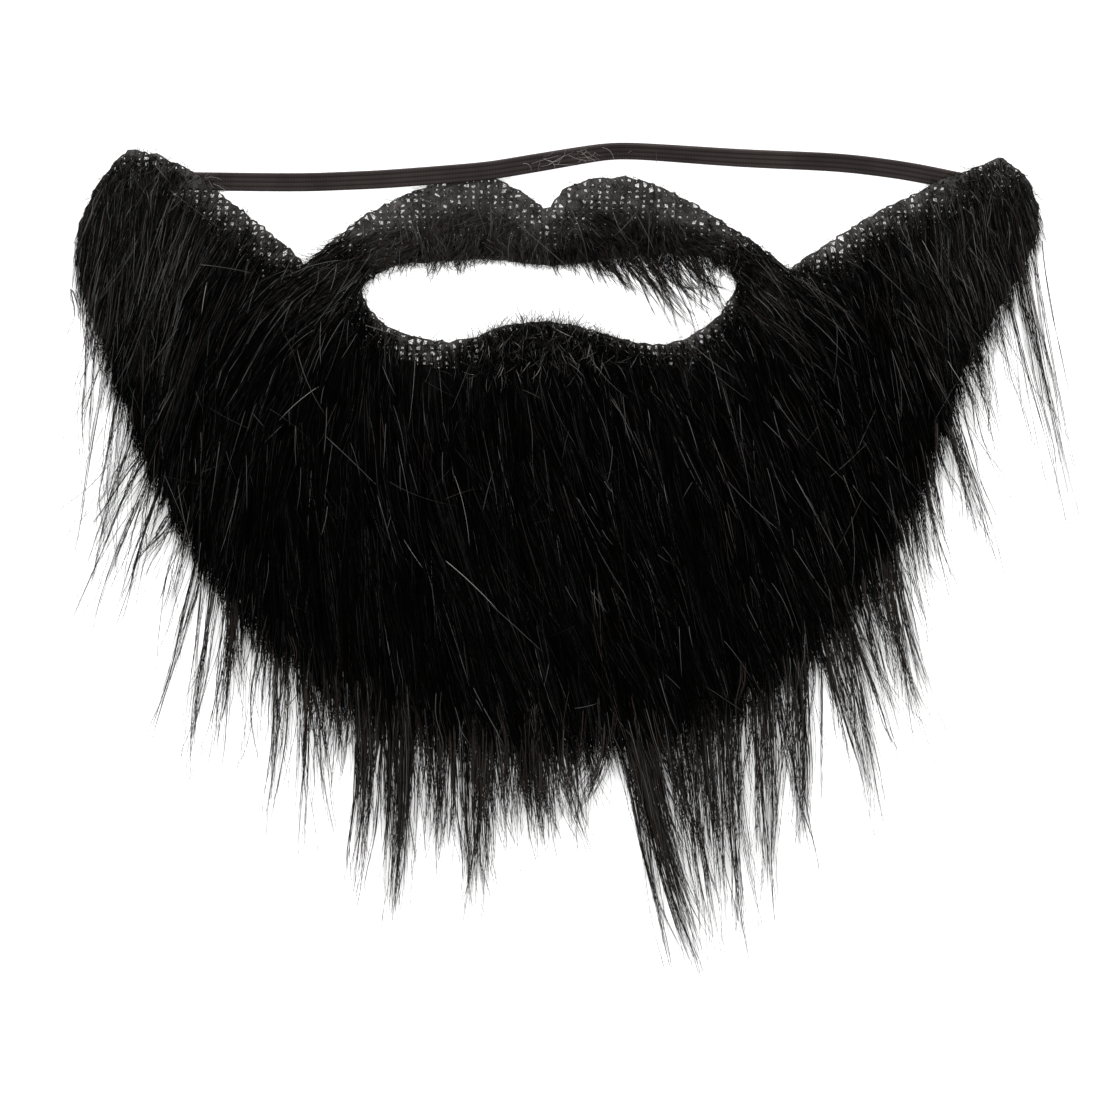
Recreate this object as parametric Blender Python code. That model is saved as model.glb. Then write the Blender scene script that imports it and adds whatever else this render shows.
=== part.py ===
"""Fake beard of black long-pile fur cloth with an elastic strap, lying flat, pile up.

Metres. +Z up, +X to the right as seen from above, +Y from the chin towards the strap. The origin is on the
underside of the knitted backing, on the chin below the middle of the mouth opening.
"""

import math
from collections import namedtuple

import bmesh
import bpy
from mathutils import Vector

# Cloth outline
BEARD_WIDTH = 0.250
CHIN_DROP = 0.085  # from the origin down to the chin's edge
LIP_HEIGHT = 0.0143  # from the origin up to the lowest edge of the mouth opening
MOUTH_WIDTH = 0.098
MOUTH_HEIGHT = 0.0226
BRIDGE_WIDTH = 0.014  # from a corner of the mouth opening out to the notch beside the moustache
MOUSTACHE_HEIGHT = 0.021  # of its lobes above the mouth opening
SIDEBURN_RISE = 0.0071  # of the sideburns' tips above the lobes
BACKING_THICKNESS = 0.0012

# Pile of the beard and of the moustache
BEARD_LOFT = 0.0100  # of the dense pile, under its locks
MOUSTACHE_LOFT = 0.0042
PILE_SKIRT = 0.0135  # dense pile that overhangs the chin's edge
SIDE_OVERHANG = 0.0014  # and the edges that the pile runs along
BARE_KNIT = 0.0035  # strip of knit without pile along the upper edges
PILE_LENGTH = 0.066  # longest fringe lock, from the chin's edge
LOCK_WIDTH = 0.0125
LOCK_THICKNESS = 0.0050
LOCK_SINK = 0.0012  # of a lock's foot below the dense pile's top
LOCK_RISEN = 0.3  # share of a lock's length at which it is out of the dense pile

# Elastic strap
STRAP_WIDTH = 0.0048
STRAP_THICKNESS = 0.0010
STRAP_BOW = 0.0087  # of its arc over the mouth, above the line between its ends
SEAM_IN = 0.004  # from a sideburn's tip in to the strap's end under it
SEAM_DOWN = 0.0104  # from a sideburn's tip down to the strap's lower edge
STRAP_RAMP = 0.018  # over which the strap comes down beside what it passes over
CLOTH_RAMP = 0.020  # over which the cloth comes down beside the strap's ends

CLEARANCE = 0.0003
STRAP_GAP = 1.4 * CLEARANCE  # between the strap and the cloth over or under it
EDGE_GAP = 1.5 * CLEARANCE  # between the backing's outer edge and the pile that hangs over it

HALF_WIDTH = BEARD_WIDTH / 2
MOUTH_HALF = MOUTH_WIDTH / 2
MOUTH_TOP = LIP_HEIGHT + MOUTH_HEIGHT
MOUSTACHE_HALF = MOUTH_HALF + BRIDGE_WIDTH
SIDEBURN_HEIGHT = MOUTH_TOP + MOUSTACHE_HEIGHT + SIDEBURN_RISE
PILE_BASE = BACKING_THICKNESS + CLEARANCE

Mark = namedtuple("Mark", "across up")

# Shares of HALF_WIDTH, and of SIDEBURN_HEIGHT above the origin or CHIN_DROP below it
OUTER_EDGE = (
    Mark(-0.895, 0.965),
    Mark(-0.947, 0.830),
    Mark(-0.981, 0.660),
    Mark(-0.972, 0.450),
    Mark(-0.925, 0.220),
    Mark(-0.884, 0.000),
    Mark(-0.810, -0.250),
    Mark(-0.700, -0.510),
    Mark(-0.550, -0.740),
    Mark(-0.370, -0.895),
    Mark(-0.170, -0.975),
    Mark(0.030, -1.000),
    Mark(0.230, -0.960),
    Mark(0.410, -0.860),
    Mark(0.580, -0.665),
    Mark(0.720, -0.390),
    Mark(0.805, -0.130),
    Mark(0.862, 0.120),
    Mark(0.930, 0.345),
    Mark(0.998, 0.580),
    Mark(1.020, 0.745),
    Mark(0.995, 0.880),
)

LEFT_TIP = Mark(-0.871, 1.000)
RIGHT_TIP = Mark(0.944, 0.972)

# Shares of the way from a notch beside the moustache out and up to the sideburn's tip
LEFT_CHEEK = (Mark(0.31, 0.40), Mark(0.57, 0.72), Mark(0.80, 0.94))
RIGHT_CHEEK = (Mark(0.19, 0.25), Mark(0.42, 0.52), Mark(0.66, 0.74), Mark(0.83, 0.88))

# Shares of MOUTH_HALF, and of MOUTH_HEIGHT above the opening's lowest edge
LEFT_MOUTH_CORNER = Mark(-1.00, 0.63)
RIGHT_MOUTH_CORNER = Mark(1.00, 0.69)
LOWER_LIP = (
    Mark(-0.93, 0.33),
    Mark(-0.76, 0.12),
    Mark(-0.55, 0.03),
    Mark(-0.39, 0.09),
    Mark(-0.22, 0.23),
    Mark(0.00, 0.27),
    Mark(0.22, 0.17),
    Mark(0.53, 0.00),
    Mark(0.75, 0.09),
    Mark(0.92, 0.38),
)
UPPER_LIP = (
    Mark(-0.90, 0.84),
    Mark(-0.74, 0.94),
    Mark(-0.30, 0.98),
    Mark(0.00, 0.91),
    Mark(0.27, 0.98),
    Mark(0.57, 1.04),
    Mark(0.83, 1.01),
    Mark(0.95, 0.90),
)

# Shares of MOUSTACHE_HALF, and of MOUSTACHE_HEIGHT above the mouth opening
LEFT_NOTCH = Mark(-1.00, -0.08)
RIGHT_NOTCH = Mark(0.99, -0.16)
CUPID_NOTCH = Mark(-0.01, 0.58)
LEFT_LOBE = (Mark(-0.88, 0.25), Mark(-0.70, 0.62), Mark(-0.51, 0.88), Mark(-0.33, 1.00), Mark(-0.17, 0.93))
RIGHT_LOBE = (
    Mark(0.08, 0.88),
    Mark(0.22, 1.01),
    Mark(0.36, 0.99),
    Mark(0.50, 0.82),
    Mark(0.67, 0.53),
    Mark(0.85, 0.18),
)

# Where the beard's upper edge turns, as a share of the outer edge's length that faces it, and the cells up to there
Turn = namedtuple("Turn", "outer cells")
TURNS = (Turn(0.150, 9), Turn(0.225, 3), Turn(0.775, 24), Turn(0.845, 3), Turn(1.000, 9))
ACROSS_CELLS = 6
LOBE_CELLS = 9  # along each half of the moustache
LOBE_ACROSS_CELLS = 3
TIP_SHARE = 0.09  # of the outer edge, over which the pile's overhang comes to nothing at each tip
MOST_BARE = 0.35  # share of the way across the cloth

# The beard pile's height across the cloth, and its share along it, both by share of the way
Rise = namedtuple("Rise", "at loft")
PILE_ACROSS = (Rise(0.00, 0.10), Rise(0.15, 0.42), Rise(0.40, 0.85), Rise(0.70, 1.00), Rise(1.00, 0.94))
PILE_SKIRT_OVER = (Rise(0.00, 0.94), Rise(0.45, 0.78), Rise(1.00, 0.34))
PILE_ALONG = (
    Rise(0.00, 0.35),
    Rise(0.12, 0.62),
    Rise(0.30, 0.95),
    Rise(0.50, 1.00),
    Rise(0.70, 0.95),
    Rise(0.88, 0.62),
    Rise(1.00, 0.35),
)
MOUSTACHE_ACROSS = (Rise(0.00, 0.25), Rise(0.45, 0.90), Rise(0.80, 1.00), Rise(1.00, 0.50))

# The fringe's main locks: share of the outer edge's length, of PILE_LENGTH and of LOCK_WIDTH, lean from straight
# down towards +X, and how much the lean changes by the tip
Fringe = namedtuple("Fringe", "at length width lean curl")
FRINGE = (
    Fringe(0.115, 0.30, 0.55, -6, 4),
    Fringe(0.150, 0.42, 0.60, -12, 6),
    Fringe(0.185, 0.36, 0.60, -10, 4),
    Fringe(0.215, 0.50, 0.60, -24, 6),
    Fringe(0.245, 0.46, 0.70, -27, 4),
    Fringe(0.275, 0.52, 0.70, -10, -4),
    Fringe(0.300, 0.80, 0.80, -8, -9),
    Fringe(0.325, 0.50, 0.80, -2, -4),
    Fringe(0.350, 0.78, 0.90, -1, -6),
    Fringe(0.378, 0.85, 0.80, -2, -7),
    Fringe(0.402, 0.66, 0.90, 0, -4),
    Fringe(0.428, 0.92, 1.00, 1, -6),
    Fringe(0.452, 0.55, 0.90, 2, 4),
    Fringe(0.474, 0.94, 0.80, 2, 4),
    Fringe(0.496, 0.56, 1.00, 5, 12),
    Fringe(0.518, 0.50, 0.90, 6, 20),
    Fringe(0.541, 0.74, 0.80, 10, 8),
    Fringe(0.560, 1.08, 1.10, 21, -6),
    Fringe(0.583, 1.05, 0.90, 13, -5),
    Fringe(0.606, 0.95, 0.80, 9, -4),
    Fringe(0.630, 0.84, 0.90, 8, -5),
    Fringe(0.655, 0.62, 0.90, 8, -6),
    Fringe(0.682, 0.78, 0.80, 13, -4),
    Fringe(0.712, 0.66, 0.80, 14, 4),
    Fringe(0.745, 0.60, 0.70, 12, 6),
    Fringe(0.780, 0.48, 0.65, 12, 5),
    Fringe(0.815, 0.50, 0.60, 16, -4),
    Fringe(0.850, 0.46, 0.60, 16, 2),
    Fringe(0.885, 0.92, 0.60, 11, 3),
)

# Rows of locks over the beard, by share of the way across the cloth and of the outer edge, and their length as a
# share of PILE_LENGTH
Row = namedtuple("Row", "across first last locks length width")
ROWS = (
    Row(0.14, 0.28, 0.74, 12, 0.50, 0.80),
    Row(0.34, 0.05, 0.96, 17, 0.52, 0.90),
    Row(0.56, 0.09, 0.94, 18, 0.54, 1.00),
    Row(0.79, 0.14, 0.88, 18, 0.52, 1.05),
)
LEFT_LEAN, MIDDLE_LEAN, RIGHT_LEAN = -10, 14, 17  # of the pile, in degrees from straight down towards +X
LEAN_SWAY, SWAY_STEP = 6, 2.3  # degrees, and radians from lock to lock
LOCK_SECTIONS = 5
SHOULDER_OUT, SHOULDER_UP = 0.72, 0.60  # shares of a lock's half width and thickness
FRINGE_LEVEL = 0.3  # share of a fringe lock's length that stays level with the knit's top

# The strap's line: share of its span, of STRAP_BOW, and its roll in degrees
Station = namedtuple("Station", "along bow roll")
STRAP_LINE = (
    Station(0.000, 0.00, 0),
    Station(0.095, -0.01, 0),
    Station(0.184, -0.01, 0),
    Station(0.243, 0.05, 0),
    Station(0.300, 0.13, 0),
    Station(0.400, 0.35, 0),
    Station(0.440, 0.51, 4),
    Station(0.534, 0.93, 24),
    Station(0.566, 1.00, 28),
    Station(0.611, 0.96, 26),
    Station(0.706, 0.82, 16),
    Station(0.815, 0.72, 8),
    Station(0.872, 0.585, 0),
    Station(0.924, 0.39, 0),
    Station(1.000, 0.00, 0),
)
STATION_STEPS = 3
TUCKED = 0.10  # share of the strap's line under each sideburn
FELT_ACROSS = (-1.3, -0.6, 0, 0.6, 1.3)  # shares of the strap's half width, where it feels for the cloth below

BLACK_KNIT = ("knit", (0.022, 0.020, 0.019), 0.85)
BLACK_PILE = ("pile", (0.010, 0.009, 0.009), 0.45)
BLACK_ELASTIC = ("elastic", (0.020, 0.018, 0.018), 0.70)


def clear_scene():
    for old in list(bpy.data.objects):
        bpy.data.objects.remove(old)


def material(name, colour, roughness):
    made = bpy.data.materials.new(name)
    made.use_nodes = True
    shader = made.node_tree.nodes["Principled BSDF"]
    shader.inputs["Base Color"].default_value = (*colour, 1)
    shader.inputs["Roughness"].default_value = roughness
    shader.inputs["Metallic"].default_value = 0
    return made


def show(name, mesh, finish):
    """Links a mesh as a named object with its finish."""
    thing = bpy.data.objects.new(name, mesh)
    bpy.context.scene.collection.objects.link(thing)
    thing.data.materials.append(finish)
    return thing


# Lines in plan

def smooth(points, steps=8):
    """A smooth line through the points, as a Catmull-Rom spline."""
    ends = [2 * points[0] - points[1], *points, 2 * points[-1] - points[-2]]
    line = []
    for before, start, end, after in zip(ends, ends[1:], ends[2:], ends[3:]):
        for i in range(steps):
            t = i / steps
            bend = (2 * before - 5 * start + 4 * end - after) * t**2 + (3 * start - before - 3 * end + after) * t**3
            line.append((2 * start + (end - before) * t + bend) / 2)
    return [*line, points[-1]]


def lengths(line):
    """The length along a line up to each of its points."""
    gone = [0.0]
    for start, end in zip(line, line[1:]):
        gone.append(gone[-1] + (end - start).length)
    return gone


def at(line, share):
    """The point at a share of a line's length."""
    gone = lengths(line)
    wanted = min(max(share, 0), 1) * gone[-1]
    for i in range(1, len(line)):
        if gone[i] >= wanted:
            part = (wanted - gone[i - 1]) / max(gone[i] - gone[i - 1], 1e-12)
            return line[i - 1].lerp(line[i], part)
    return line[-1].copy()


def heading(line, share, step=0.01):
    return (at(line, share + step) - at(line, share - step)).normalized()


def eased(share):
    share = min(max(share, 0), 1)
    return share * share * (3 - 2 * share)


def level(rises, share):
    """The loft share at a share of the way, eased between the rows of a table."""
    for low, high in zip(rises, rises[1:]):
        if share <= high.at:
            return low.loft + (high.loft - low.loft) * eased((share - low.at) / (high.at - low.at))
    return rises[-1].loft


def on_cloth(mark):
    return Vector((mark.across * HALF_WIDTH, mark.up * (SIDEBURN_HEIGHT if mark.up > 0 else CHIN_DROP), 0))


def on_mouth(mark):
    return Vector((mark.across * MOUTH_HALF, LIP_HEIGHT + mark.up * MOUTH_HEIGHT, 0))


def on_moustache(mark):
    return Vector((mark.across * MOUSTACHE_HALF, MOUTH_TOP + mark.up * MOUSTACHE_HEIGHT, 0))


def cheek(notch, tip, marks):
    """The beard's upper edge from a notch beside the moustache to the sideburn's tip."""
    way = tip - notch
    between = [notch + Vector((way.x * m.across, way.y * m.up, 0)) for m in marks]
    return smooth([notch, *between, tip])


TIPS = on_cloth(LEFT_TIP), on_cloth(RIGHT_TIP)
NOTCHES = on_moustache(LEFT_NOTCH), on_moustache(RIGHT_NOTCH)
CORNERS = on_mouth(LEFT_MOUTH_CORNER), on_mouth(RIGHT_MOUTH_CORNER)
OUTER = smooth([on_cloth(m) for m in OUTER_EDGE])
UPPER_EDGE = (
    cheek(NOTCHES[0], TIPS[0], LEFT_CHEEK)[::-1],
    [NOTCHES[0], CORNERS[0]],
    smooth([CORNERS[0], *map(on_mouth, LOWER_LIP), CORNERS[1]]),
    [CORNERS[1], NOTCHES[1]],
    cheek(NOTCHES[1], TIPS[1], RIGHT_CHEEK),
)
MOUTH_UPPER = smooth([CORNERS[0], *map(on_mouth, UPPER_LIP), CORNERS[1]])
CUPID = on_moustache(CUPID_NOTCH)
LOBES = (
    smooth([NOTCHES[0], *map(on_moustache, LEFT_LOBE), CUPID]),
    smooth([CUPID, *map(on_moustache, RIGHT_LOBE), NOTCHES[1]]),
)


def strap_line():
    """The strap's centreline in plan."""
    down = STRAP_WIDTH / 2 - SEAM_DOWN
    left, right = TIPS[0] + Vector((SEAM_IN, down, 0)), TIPS[1] + Vector((-SEAM_IN, down, 0))
    stops = [left.lerp(right, s.along) + Vector((0, STRAP_BOW * s.bow, 0)) for s in STRAP_LINE]
    return smooth(stops, STATION_STEPS)


def beside(point, start, end):
    """The distance in plan from a point to the stretch between two others."""
    way = end - start
    part = min(max((point - start).dot(way) / way.length_squared, 0), 1)
    return (point - start - way * part).length


def cloth_lift(point):
    """How far the cloth's underside is lifted off the surface, over the strap's ends."""
    line = strap_line()
    lift = 0.0
    for stretch in ((line[0], at(line, TUCKED)), (at(line, 1 - TUCKED), line[-1])):
        away = (beside(Vector((point.x, point.y, 0)), *stretch) - STRAP_WIDTH) / CLOTH_RAMP
        lift = max(lift, (STRAP_THICKNESS + STRAP_GAP) * eased(1 - away))
    return lift


# Cloth

def beard_rulings():
    """Pairs of facing points on the beard's upper and outer edges, from sideburn tip to sideburn tip.
    Each comes with its share of the outer edge."""
    pairs, begin = [(UPPER_EDGE[0][0], OUTER[0], 0.0)], 0.0
    for edge, turn in zip(UPPER_EDGE, TURNS):
        for i in range(1, turn.cells + 1):
            share = begin + (turn.outer - begin) * i / turn.cells
            pairs.append((at(edge, i / turn.cells), at(OUTER, share), share))
        begin = turn.outer
    return pairs


def moustache_rulings():
    """Pairs of facing points on the moustache's upper edge and on the mouth opening, left to right."""
    pairs = []
    for half, lobe in enumerate(LOBES):
        for i in range(half, LOBE_CELLS + 1):
            share = i / LOBE_CELLS
            pairs.append((at(lobe, share), at(MOUTH_UPPER, (half + share) / 2)))
    return pairs


def add_grid(shape, rows):
    """Adds a grid of faces through rows of points."""
    made = [[shape.verts.new(p) for p in row] for row in rows]
    for row, following in zip(made, made[1:]):
        for i in range(len(row) - 1):
            shape.faces.new([row[i], row[i + 1], following[i + 1], following[i]])
    return made


def finished_mesh(name, shape):
    mesh = bpy.data.meshes.new(name)
    shape.to_mesh(mesh)
    shape.free()
    return mesh


def lifted(point):
    return Vector((point.x, point.y, cloth_lift(point)))


def knit_backing(finish):
    """The knitted cloth, one sheet with the mouth opening in it, resting on the surface."""
    shape = bmesh.new()
    beard = [
        [lifted(upper.lerp(outer, i / ACROSS_CELLS)) for i in range(ACROSS_CELLS + 1)]
        for upper, outer, _ in beard_rulings()
    ]
    moustache = [
        [lifted(upper.lerp(low, i / LOBE_ACROSS_CELLS)) for i in range(LOBE_ACROSS_CELLS + 1)]
        for upper, low in moustache_rulings()
    ]
    add_grid(shape, beard)
    add_grid(shape, moustache)
    bmesh.ops.remove_doubles(shape, verts=shape.verts[:], dist=CLEARANCE / 10)
    bmesh.ops.recalc_face_normals(shape, faces=shape.faces[:])
    if sum(face.normal.z for face in shape.faces) < 0:
        bmesh.ops.reverse_faces(shape, faces=shape.faces[:])
    sheet = show("knit_backing", finished_mesh("knit_backing", shape), finish)
    wall = sheet.modifiers.new("cloth", "SOLIDIFY")
    wall.thickness = BACKING_THICKNESS
    wall.offset = 1
    return sheet


# Pile

def closed_shell(name, bottom, top):
    """A closed solid between two grids of points with the same rows."""
    shape = bmesh.new()
    low = add_grid(shape, bottom)
    high = add_grid(shape, top)
    around = [row[0] for row in low] + low[-1][1:] + [row[-1] for row in low[-2::-1]] + low[0][-2:0:-1]
    above = [row[0] for row in high] + high[-1][1:] + [row[-1] for row in high[-2::-1]] + high[0][-2:0:-1]
    for i in range(len(around)):
        j = (i + 1) % len(around)
        shape.faces.new([around[i], around[j], above[j], above[i]])
    bmesh.ops.recalc_face_normals(shape, faces=shape.faces[:])
    return finished_mesh(name, shape)


def outward(share):
    """The direction in plan from the outer edge away from the cloth."""
    way = heading(OUTER, share)
    return Vector((way.y, -way.x, 0))


def bare_share(upper, outer):
    """The share of the way across the cloth that is bare knit."""
    return min(BARE_KNIT / (outer - upper).length, MOST_BARE)


def skirt(share):
    """How far the dense pile reaches past the outer edge: over the chin's most, and nothing at the tips."""
    away = outward(share)
    ends = eased(min(share, 1 - share) / TIP_SHARE)
    return (Vector((0, -PILE_SKIRT * max(0, -away.y) ** 3, 0)) + away * SIDE_OVERHANG) * ends


def beard_mat_rows():
    """The dense body of the beard's pile, as rows across the cloth and over its outer edge."""
    bottom, top = [], []
    for upper, outer, share in beard_rulings():
        loft = BEARD_LOFT * level(PILE_ALONG, share)
        start = bare_share(upper, outer)
        edge = outer + outward(share) * EDGE_GAP
        under, over = [], []
        for rise in PILE_ACROSS:
            point = edge.copy() if rise.at == 1 else upper.lerp(outer, start + (1 - start) * rise.at)
            point.z = cloth_lift(point) + PILE_BASE
            under.append(point)
            over.append(point + Vector((0, 0, loft * rise.loft)))
        for rise in PILE_SKIRT_OVER:
            hang = edge + skirt(share) * rise.at
            under.append(hang)
            if rise.at:
                over.append(hang + Vector((0, 0, PILE_BASE + loft * rise.loft)))
        over.append(under[-1] + skirt(share) * 0.1 + Vector((0, 0, CLEARANCE)))
        bottom.append(under)
        top.append(over)
    return bottom, top


def swelling(share):
    """A lock's width and thickness along it, as a share of the most: fullest near its root, with a pointed tip."""
    return math.sin(math.pi * (0.25 + 0.75 * share)) ** 0.8


def lock(name, root, lean, curl, length, width, thickness, levels):
    """One tapered lock of pile, flat below and ridged above, as a hidden solid to be fused. It leans from straight
    down, and levels gives the heights of its underside and of its foot at a point and a share of its length."""
    shape, rings = bmesh.new(), []
    point = Vector((root.x, root.y, 0))
    for i in range(LOCK_SECTIONS):
        share = i / LOCK_SECTIONS
        angle = math.radians(lean + curl * share)
        way = Vector((math.sin(angle), -math.cos(angle), 0))
        side = Vector((way.y, -way.x, 0)) * width / 2 * swelling(share)
        low, foot = (point + Vector((0, 0, z)) for z in levels(point, share))
        ridge = Vector((0, 0, thickness * swelling(share)))
        ring = (
            low - side,
            foot - side * SHOULDER_OUT + ridge * SHOULDER_UP,
            foot + ridge,
            foot + side * SHOULDER_OUT + ridge * SHOULDER_UP,
            low + side,
        )
        rings.append([shape.verts.new(p) for p in ring])
        point = point + way * length / LOCK_SECTIONS
    tip = shape.verts.new(point + Vector((0, 0, levels(point, 1)[1])))
    for ring, following in zip(rings, rings[1:]):
        for i in range(len(ring)):
            j = (i + 1) % len(ring)
            shape.faces.new([ring[i], ring[j], following[j], following[i]])
    for i in range(len(rings[-1])):
        shape.faces.new([rings[-1][i], rings[-1][(i + 1) % len(rings[-1])], tip])
    shape.faces.new(rings[0][::-1])
    bmesh.ops.recalc_face_normals(shape, faces=shape.faces[:])
    made = bpy.data.objects.new(name, finished_mesh(name, shape))
    made.hide_render = True
    made.display_type = "WIRE"
    return made


def fuse(body, locks):
    """Unites a body with its locks."""
    group = bpy.data.collections.new(body.name + "_locks")
    bpy.context.scene.collection.children.link(group)
    for piece in locks:
        group.objects.link(piece)
    union = body.modifiers.new("locks", "BOOLEAN")
    union.operation = "UNION"
    union.operand_type = "COLLECTION"
    union.collection = group
    union.solver = "EXACT"
    group.hide_render = True


def pile_lean(x):
    """How far the pile leans from straight down, by the place across the beard."""
    place = x / HALF_WIDTH
    if place < 0:
        return MIDDLE_LEAN + (LEFT_LEAN - MIDDLE_LEAN) * min(-place, 1)
    return MIDDLE_LEAN + (RIGHT_LEAN - MIDDLE_LEAN) * min(place, 1)


def fringe_levels(point, share):
    """A fringe lock comes down from the knit's top to the surface by its tip."""
    top, bottom = PILE_BASE + CLEARANCE, CLEARANCE / 2
    low = top + (bottom - top) * eased((share - FRINGE_LEVEL) / (1 - FRINGE_LEVEL))
    return low, low


def fringe_locks():
    """The locks that reach past the outer edge."""
    locks = []
    for i, row in enumerate(FRINGE):
        size = PILE_LENGTH * row.length, LOCK_WIDTH * row.width, LOCK_THICKNESS
        locks.append(lock(f"fringe_lock_{i}", at(OUTER, row.at), row.lean, row.curl, *size, fringe_levels))
    return locks


def pile_top(point, rulings):
    """The height of the dense pile's top over its base, at a point in plan."""
    upper, outer, share = min(rulings, key=lambda r: beside(point, r[0], r[1]))
    ruling = outer - upper
    loft = BEARD_LOFT * level(PILE_ALONG, share)
    across = (point - upper).dot(ruling) / ruling.length_squared
    if across > 1:
        return loft * level(PILE_SKIRT_OVER, (point - outer).length / max(skirt(share).length, CLEARANCE))
    start = bare_share(upper, outer)
    return loft * level(PILE_ACROSS, (across - start) / (1 - start))


def row_levels(rulings):
    """A lock in a row comes out of the dense pile and then lies on it."""

    def levels(point, share):
        low = PILE_BASE + cloth_lift(point) + CLEARANCE
        buried = LOCK_SINK + LOCK_THICKNESS * (1 - eased(share / LOCK_RISEN))
        return low, low + max(0, pile_top(point, rulings) - buried)

    return levels


def row_locks():
    """The locks that lie over the dense pile, each row half a step from the one above it."""
    locks, rulings = [], beard_rulings()
    for r, row in enumerate(ROWS):
        for i in range(row.locks):
            share = row.first + (row.last - row.first) * (i + 0.5 * (r % 2)) / row.locks
            root = facing(rulings, share, row.across)
            thickness = LOCK_THICKNESS * level(PILE_ALONG, share)
            size = PILE_LENGTH * row.length, LOCK_WIDTH * row.width, thickness
            sway = LEAN_SWAY * math.sin(i * SWAY_STEP + r)
            locks.append(lock(f"row_{r}_lock_{i}", root, pile_lean(root.x), sway, *size, row_levels(rulings)))
    return locks


def facing(rulings, share, across):
    """The point at a share of the outer edge and of the way across the cloth to it."""
    for low, high in zip(rulings, rulings[1:]):
        if share <= high[2]:
            t = (share - low[2]) / (high[2] - low[2])
            return low[0].lerp(high[0], t).lerp(low[1].lerp(high[1], t), across)
    return rulings[-1][0].lerp(rulings[-1][1], across)


def beard_fur(finish):
    body = show("beard_fur", closed_shell("beard_fur", *beard_mat_rows()), finish)
    fuse(body, fringe_locks() + row_locks())
    return body


def moustache_fur(finish):
    """The moustache's short pile, which leaves the knit bare along its upper edge."""
    bottom, top = [], []
    pairs = moustache_rulings()
    for upper, low in pairs[1:-1]:
        start = bare_share(upper, low)
        under, over = [], []
        for rise in MOUSTACHE_ACROSS:
            point = upper.lerp(low, start + (1 - start) * rise.at)
            under.append(Vector((point.x, point.y, PILE_BASE)))
            over.append(Vector((point.x, point.y, PILE_BASE + MOUSTACHE_LOFT * rise.loft)))
        bottom.append(under)
        top.append(over)
    return show("moustache_fur", closed_shell("moustache_fur", bottom, top), finish)


# Strap

def lobe_top(point):
    """The height of the moustache's top at a point in plan, and nothing beside it."""
    upper, low = min(moustache_rulings(), key=lambda ruling: beside(point, *ruling))
    way = low - upper
    across = (point - upper).dot(way) / way.length_squared
    start = bare_share(upper, low)
    if across < -CLEARANCE / way.length:
        return 0
    if across < start - CLEARANCE / way.length:
        return BACKING_THICKNESS
    return PILE_BASE + MOUSTACHE_LOFT * level(MOUSTACHE_ACROSS, (across - start) / (1 - start))


def strap_lifts(line, sides):
    """The lift of the strap's underside at each point of its line, to pass over the moustache's edge."""
    tops = [max(lobe_top(p + side * t) for t in FELT_ACROSS) for p, side in zip(line, sides)]
    needs = [top + STRAP_GAP if top else 0 for top in tops]
    return [
        max(need * eased(1 - (point - other).length / STRAP_RAMP) for other, need in zip(line, needs))
        for point in line
    ]


def elastic_strap(finish):
    """The flat elastic band: its ends lie under the sideburns, and it passes over the left lobe's edge."""
    line = strap_line()
    ways = [(b - a).normalized() for a, b in zip([line[0], *line], [*line[1:], line[-1]])]
    sides = [Vector((-way.y, way.x, 0)) * STRAP_WIDTH / 2 for way in ways]
    rolls = smooth([Vector((math.radians(s.roll), 0, 0)) for s in STRAP_LINE], STATION_STEPS)
    shape, rings = bmesh.new(), []
    for point, way, flat, lift, roll in zip(line, ways, sides, strap_lifts(line, sides), rolls):
        side = flat * math.cos(roll.x) + Vector((0, 0, math.sin(roll.x) * STRAP_WIDTH / 2))
        up = way.cross(side).normalized() * STRAP_THICKNESS / 2
        middle = point + Vector((0, 0, lift + abs(side.z) + up.z))
        ring = (middle - side - up, middle + side - up, middle + side + up, middle - side + up)
        rings.append([shape.verts.new(p) for p in ring])
    for ring, following in zip(rings, rings[1:]):
        for i in range(4):
            j = (i + 1) % 4
            shape.faces.new([ring[i], ring[j], following[j], following[i]])
    shape.faces.new(rings[0][::-1])
    shape.faces.new(rings[-1])
    bmesh.ops.recalc_face_normals(shape, faces=shape.faces[:])
    return show("elastic_strap", finished_mesh("elastic_strap", shape), finish)


clear_scene()
knit_backing(material(*BLACK_KNIT))
pile = material(*BLACK_PILE)
beard_fur(pile)
moustache_fur(pile)
elastic_strap(material(*BLACK_ELASTIC))
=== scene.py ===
"""Looks of the fake beard: knitted cloth, pile, single hairs and elastic strap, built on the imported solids.

Metres, in the part's frame: +Z up out of the pile, +X to the right as seen from above, +Y from the chin
towards the strap. Hairs lean by degrees from straight down (-Y) towards +X.
"""

import math
from collections import namedtuple

import bpy
import numpy as np
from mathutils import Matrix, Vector
from mathutils.bvhtree import BVHTree


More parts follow.
